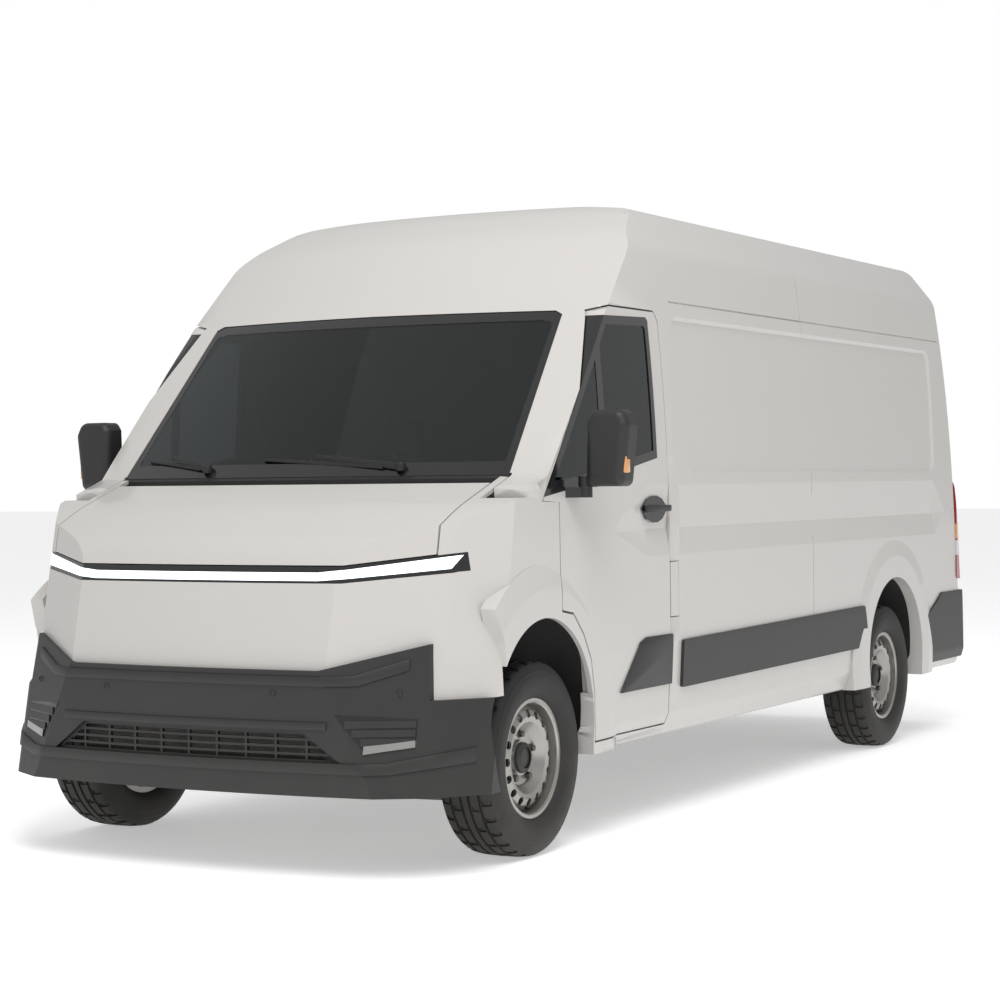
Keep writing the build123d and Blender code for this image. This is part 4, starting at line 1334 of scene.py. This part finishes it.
@dataclass
class Pressings:
    """Pressed fields, creases and seams in the side walls, and the cab's rounded edge."""

    bench: Shaper
    half_width: float = 1.020
    curve_start: float = 1.050
    curve_radius: float = 9.4956
    recess_low: float = 1.375
    recess_high: float = 2.015
    recess_front: tuple[float, float] = (1.300, 1.198)
    recess_rear: tuple[float, float] = (4.424, 4.468)
    recess_round: float = 0.060
    recess_depth: float = 0.012
    seam: float = 0.006
    seam_u: float = 2.650
    outside: float = 1.12

    def wall(self, z: float) -> float:
        """Half width of the body's outer skin at a height.

        Args:
            z: The height.

        Returns:
            The half width.
        """
        if z <= self.curve_start:
            return self.half_width
        rise = z - self.curve_start
        return self.half_width - self.curve_radius + math.sqrt(self.curve_radius ** 2 - rise ** 2)

    def solid(self, mesh: bmesh.types.BMesh) -> bpy.types.Object:
        """Make a cutter object of a finished mesh under construction.

        Args:
            mesh: The closed mesh, which is freed.

        Returns:
            The cutter.
        """
        bmesh.ops.recalc_face_normals(mesh, faces=mesh.faces)
        data = bpy.data.meshes.new("cutter")
        mesh.to_mesh(data)
        mesh.free()
        return self.bench.link("cutter", data)

    def cutter(self, rings: Sequence[Sequence[tuple[float, float, float, float]]],
               side: Side) -> bpy.types.Object:
        """A cutter whose inner face follows the wall.

        Args:
            rings: Nested rings from the floor outwards; each has rows of (z, front u, rear u, x).
            side: Side of the van.

        Returns:
            The cutter.
        """
        rows = len(rings[0])
        mesh = bmesh.new()
        points = [[(mesh.verts.new((side.value * x, at(front), z)),
                    mesh.verts.new((side.value * x, at(rear), z)))
                   for z, front, rear, x in ring] for ring in rings]
        for ring in (points[0], points[-1]):
            for i in range(rows - 1):
                mesh.faces.new((ring[i][0], ring[i][1], ring[i + 1][1], ring[i + 1][0]))
        for inner, outer in zip(points, points[1:]):
            for end in (0, 1):
                for i in range(rows - 1):
                    mesh.faces.new((inner[i][end], inner[i + 1][end], outer[i + 1][end], outer[i][end]))
            for row in (0, rows - 1):
                mesh.faces.new((inner[row][0], inner[row][1], outer[row][1], outer[row][0]))
        return self.solid(mesh)

    def recess_ring(self, inset: float, x_shift: float | None) -> list[tuple[float, float, float, float]]:
        """Rows of the large recess, moved inwards by inset.

        Args:
            inset: Distance inside the recess's outline.
            x_shift: Distance of the ring from the skin, or none for the flat outer ring.

        Returns:
            Rows of (z, front u, rear u, x).
        """
        low, high = self.recess_low + inset, self.recess_high - inset
        rows = []
        for share in (0, 0.008, 0.025, 0.05, 0.09, 0.2, 0.35, 0.5, 0.65, 0.8, 0.91, 0.95, 0.975, 0.992, 1):
            z = low + (high - low) * share
            gap = min(z - low, high - z, self.recess_round)
            turn = self.recess_round - math.sqrt(self.recess_round ** 2 - (self.recess_round - gap) ** 2)
            front = self.recess_front[0] + (self.recess_front[1] - self.recess_front[0]) * share + inset + turn
            rear = self.recess_rear[0] + (self.recess_rear[1] - self.recess_rear[0]) * share - inset - turn
            rows.append((z, front, rear, self.outside if x_shift is None else self.wall(z) + x_shift))
        return rows

    def recess(self, side: Side) -> bpy.types.Object:
        """Cutter of the large recess."""
        return self.cutter((self.recess_ring(0.012, -self.recess_depth), self.recess_ring(-0.006, 0.0035),
                            self.recess_ring(-0.006, None)), side)

    def line(self, side: Side, z_low: float, z_high: float, front: float, rear: float,
             depth: float = 0.006) -> bpy.types.Object:
        """Cutter of a narrow seam that follows the wall.

        Args:
            side: Side of the van.
            z_low: Its lower end.
            z_high: Its upper end.
            front: Its front edge.
            rear: Its rear edge.
            depth: Its depth.

        Returns:
            The cutter.
        """
        count = 10
        heights = [z_low + (z_high - z_low) * k / count for k in range(count + 1)]
        return self.cutter(([(z, front, rear, self.wall(z) - depth) for z in heights],
                            [(z, front, rear, self.outside) for z in heights]), side)

    def belt(self, side: Side, front: float = 0.52, rear: float = 4.60) -> bpy.types.Object:
        """Cutter of the belt crease, which fades out at both ends.

        Args:
            side: Side of the van.
            front: Station where it starts.
            rear: Station where it ends.

        Returns:
            The cutter.
        """
        profile = ((1.060, 1.049), (1.0206, 1.049), (1.0050, 1.160), (1.0163, 1.342), (1.060, 1.342))
        stations = ((front, 0.0160), (front + 0.35, 0.0), (rear - 0.20, 0.0), (rear, 0.0160))
        mesh = bmesh.new()
        rings = [[mesh.verts.new((side.value * (x + fade), at(u), z)) for x, z in profile]
                 for u, fade in stations]
        for near, far in zip(rings, rings[1:]):
            for i in range(len(profile)):
                k = (i + 1) % len(profile)
                mesh.faces.new((near[i], near[k], far[k], far[i]))
        mesh.faces.new(rings[0])
        mesh.faces.new(rings[-1])
        return self.solid(mesh)

    def carve(self, node: str, body: str, cutters: Sequence[bpy.types.Object]) -> None:
        """Replace a packed panel by a copy with the pressings cut into it.

        Args:
            node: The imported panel.
            body: The body it rides on.
            cutters: The shapes taken away.
        """
        panel = self.bench.copy_of(node, f"{node}_pressed")
        for cutter in cutters:
            self.bench.join_shapes(panel, cutter, "DIFFERENCE", keep=True)
        self.bench.finish(panel, body, "body_paint", angle=3.5)
        self.bench.modify(panel, "WEIGHTED_NORMAL", keep_sharp=True, weight=90)
        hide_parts(node)

    def is_corner(self, edge: bmesh.types.BMEdge, z_low: float, z_high: float) -> bool:
        """Whether an edge of the cab is one of the sharp corners between its front and its sides.

        Args:
            edge: The edge.
            z_low: Height above which it counts.
            z_high: Height up to which it counts.

        Returns:
            True for such a corner.
        """
        if len(edge.link_faces) != 2:
            return False
        middle = (edge.verts[0].co + edge.verts[1].co) / 2
        first, second = (face.normal for face in edge.link_faces)
        outer = all(n.x * middle.x > 0.0 or n.y < -0.2 for n in (first, second))
        faces_front = min(first.y, second.y) < -0.25 and max(abs(first.x), abs(second.x)) > 0.75
        return (z_low < middle.z <= z_high and outer and faces_front and edge.is_convex
                and first.angle(second) > math.radians(22) and abs(middle.x) > 0.6
                and edge.calc_length() > 0.004)

    def rounded_cab(self) -> None:
        """Round the cab shell's outer edge from the windscreen's foot over the roof."""
        shell = self.bench.copy_of("cab_shell", "cab_shell_rounded")
        for z_low, z_high, width in ((1.48, 2.06, 0.022), (2.06, 2.60, 0.075)):
            with self.bench.editing(shell):
                bpy.ops.mesh.select_mode(type="EDGE")
                bpy.ops.mesh.select_all(action="DESELECT")
                mesh = bmesh.from_edit_mesh(shell.data)
                for edge in mesh.edges:
                    if self.is_corner(edge, z_low, z_high):
                        edge.select_set(True)
                bmesh.update_edit_mesh(shell.data)
                bpy.ops.mesh.bevel(offset=width, segments=5, clamp_overlap=True)
        self.bench.finish(shell, "van_body", "body_paint", angle=30)
        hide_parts("cab_shell")

    def build(self) -> None:
        """Cut the pressings into both sides."""
        self.rounded_cab()
        for side in Side:
            recess, belt = self.recess(side), self.belt(side)
            seam = self.line(side, 0.40, 2.44, self.seam_u - self.seam / 2, self.seam_u + self.seam / 2)
            cant = self.line(side, 2.070, 2.077, 1.20, 4.66, 0.005)
            walls = [f"cargo_side_{side.word}"] + (["sliding_door"] if side is Side.RIGHT else [])
            for node in walls:
                self.carve(node, "van_body", (recess, belt, seam, cant))
            self.carve(f"door_{side.word}", f"door_{side.word}", (belt,))
            for cutter in (recess, belt, seam, cant):
                bpy.data.objects.remove(cutter)


@dataclass(frozen=True)
class SoftLight:
    """One soft square light: place, aim, side in metres and power in watts."""

    name: str
    place: Point
    aim: Point
    size: float
    power: float
    mirrored_in_glass: bool

    def build(self) -> None:
        """Hang the light and point it."""
        data = bpy.data.lights.new(self.name, "AREA")
        data.energy = self.power
        data.size = self.size
        light = bpy.data.objects.new(self.name, data)
        bpy.context.scene.collection.objects.link(light)
        light.location = self.place
        light.rotation_euler = (Vector(self.aim) - Vector(self.place)).to_track_quat("-Z", "Y").to_euler()
        light.visible_glossy = self.mirrored_in_glass


@dataclass
class Studio:
    """Pale floor, soft light and the camera of the photograph."""

    bench: Shaper
    place: Point = (4.861, -9.3836, 1.3614)
    azimuth: float = 28.8621
    pitch: float = 0.5129
    roll: float = -0.6033
    lens: float = 82.758
    sensor: float = 36.0
    sky_level: float = 0.50
    floor_size: float = 160.0
    floor_tone: float = 0.90
    floor_glow: float = 0.42
    lights: tuple[SoftLight, ...] = (
        SoftLight("key", (3.5, -6.0, 8.5), (0, -0.5, 0.5), 5.0, 480, True),
        SoftLight("top", (0.0, 0.0, 10.0), (0, 0, 0), 10.0, 260, False),
    )

    def camera(self) -> None:
        """Create the camera and make it the scene's."""
        a, p, r = (math.radians(v) for v in (self.azimuth, self.pitch, self.roll))
        back = Vector((math.sin(a) * math.cos(p), -math.cos(a) * math.cos(p), math.sin(p)))
        right = (-back).cross(Vector((0, 0, 1))).normalized()
        up = right.cross(-back)
        across = right * math.cos(r) + up * math.sin(r)
        upright = up * math.cos(r) - right * math.sin(r)
        data = bpy.data.cameras.new("camera")
        data.lens = self.lens
        data.sensor_width = self.sensor
        data.sensor_fit = "HORIZONTAL"
        data.clip_end = 200
        camera = bpy.data.objects.new("camera", data)
        bpy.context.scene.collection.objects.link(camera)
        camera.matrix_world = Matrix(((across.x, upright.x, back.x, self.place[0]),
                                      (across.y, upright.y, back.y, self.place[1]),
                                      (across.z, upright.z, back.z, self.place[2]), (0, 0, 0, 1)))
        bpy.context.scene.camera = camera

    def floor(self) -> None:
        """A plain pale floor."""
        self.bench.clear()
        bpy.ops.mesh.primitive_plane_add(size=self.floor_size)
        floor = self.bench.settle(bpy.context.object, "floor")
        shader = Shader("studio_floor")
        shader.set(Base_Color=(self.floor_tone,) * 3 + (1,), Roughness=0.9, Emission_Color=(1, 1, 1, 1),
                   Emission_Strength=self.floor_glow)
        floor.data.materials.append(shader.material)

    def sky(self) -> None:
        """A white sky that lights the van more weakly than the camera sees it."""
        world = bpy.data.worlds.new("studio")
        world.use_nodes = True
        tree = world.node_tree
        background = tree.nodes["Background"]
        background.inputs["Color"].default_value = (1, 1, 1, 1)
        seen = tree.nodes.new("ShaderNodeLightPath")
        level = tree.nodes.new("ShaderNodeMapRange")
        level.inputs["To Min"].default_value = self.sky_level
        level.inputs["To Max"].default_value = 1.0
        tree.links.new(seen.outputs["Is Camera Ray"], level.inputs["Value"])
        tree.links.new(level.outputs["Result"], background.inputs["Strength"])
        bpy.context.scene.world = world

    def build(self) -> None:
        """Set up camera, floor, light and world."""
        self.camera()
        self.floor()
        for light in self.lights:
            light.build()
        self.sky()
        bpy.context.scene.view_settings.view_transform = "Standard"


def dress(frame: dict, materials: dict[str, bpy.types.Material]) -> None:
    """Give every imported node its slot's finish.

    Args:
        materials: Finished materials by name.
    """
    for row in frame["record"]["subparts"]:
        obj = frame["nodes"][row["node"]]
        obj.data.materials.clear()
        obj.data.materials.append(materials[row["material_slot"]])


def main() -> None:
    """Build the whole scene."""
    logging.basicConfig(level=logging.INFO, format="%(message)s")
    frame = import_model()
    SharedEffects().build()
    materials = {finish.name: finish.build() for finish in FINISHES}
    dress(frame, materials)
    bench = Shaper(materials, frame["nodes"])
    for kind in (Tyres, WheelTrim, FrontEnd, Wipers, Doors, RearEnd, Cabin, Pressings, Studio):
        kind(bench).build()
        LOG.info("built %s", kind.__name__)
    bench.clear()


if __name__ == "__main__":
    main()
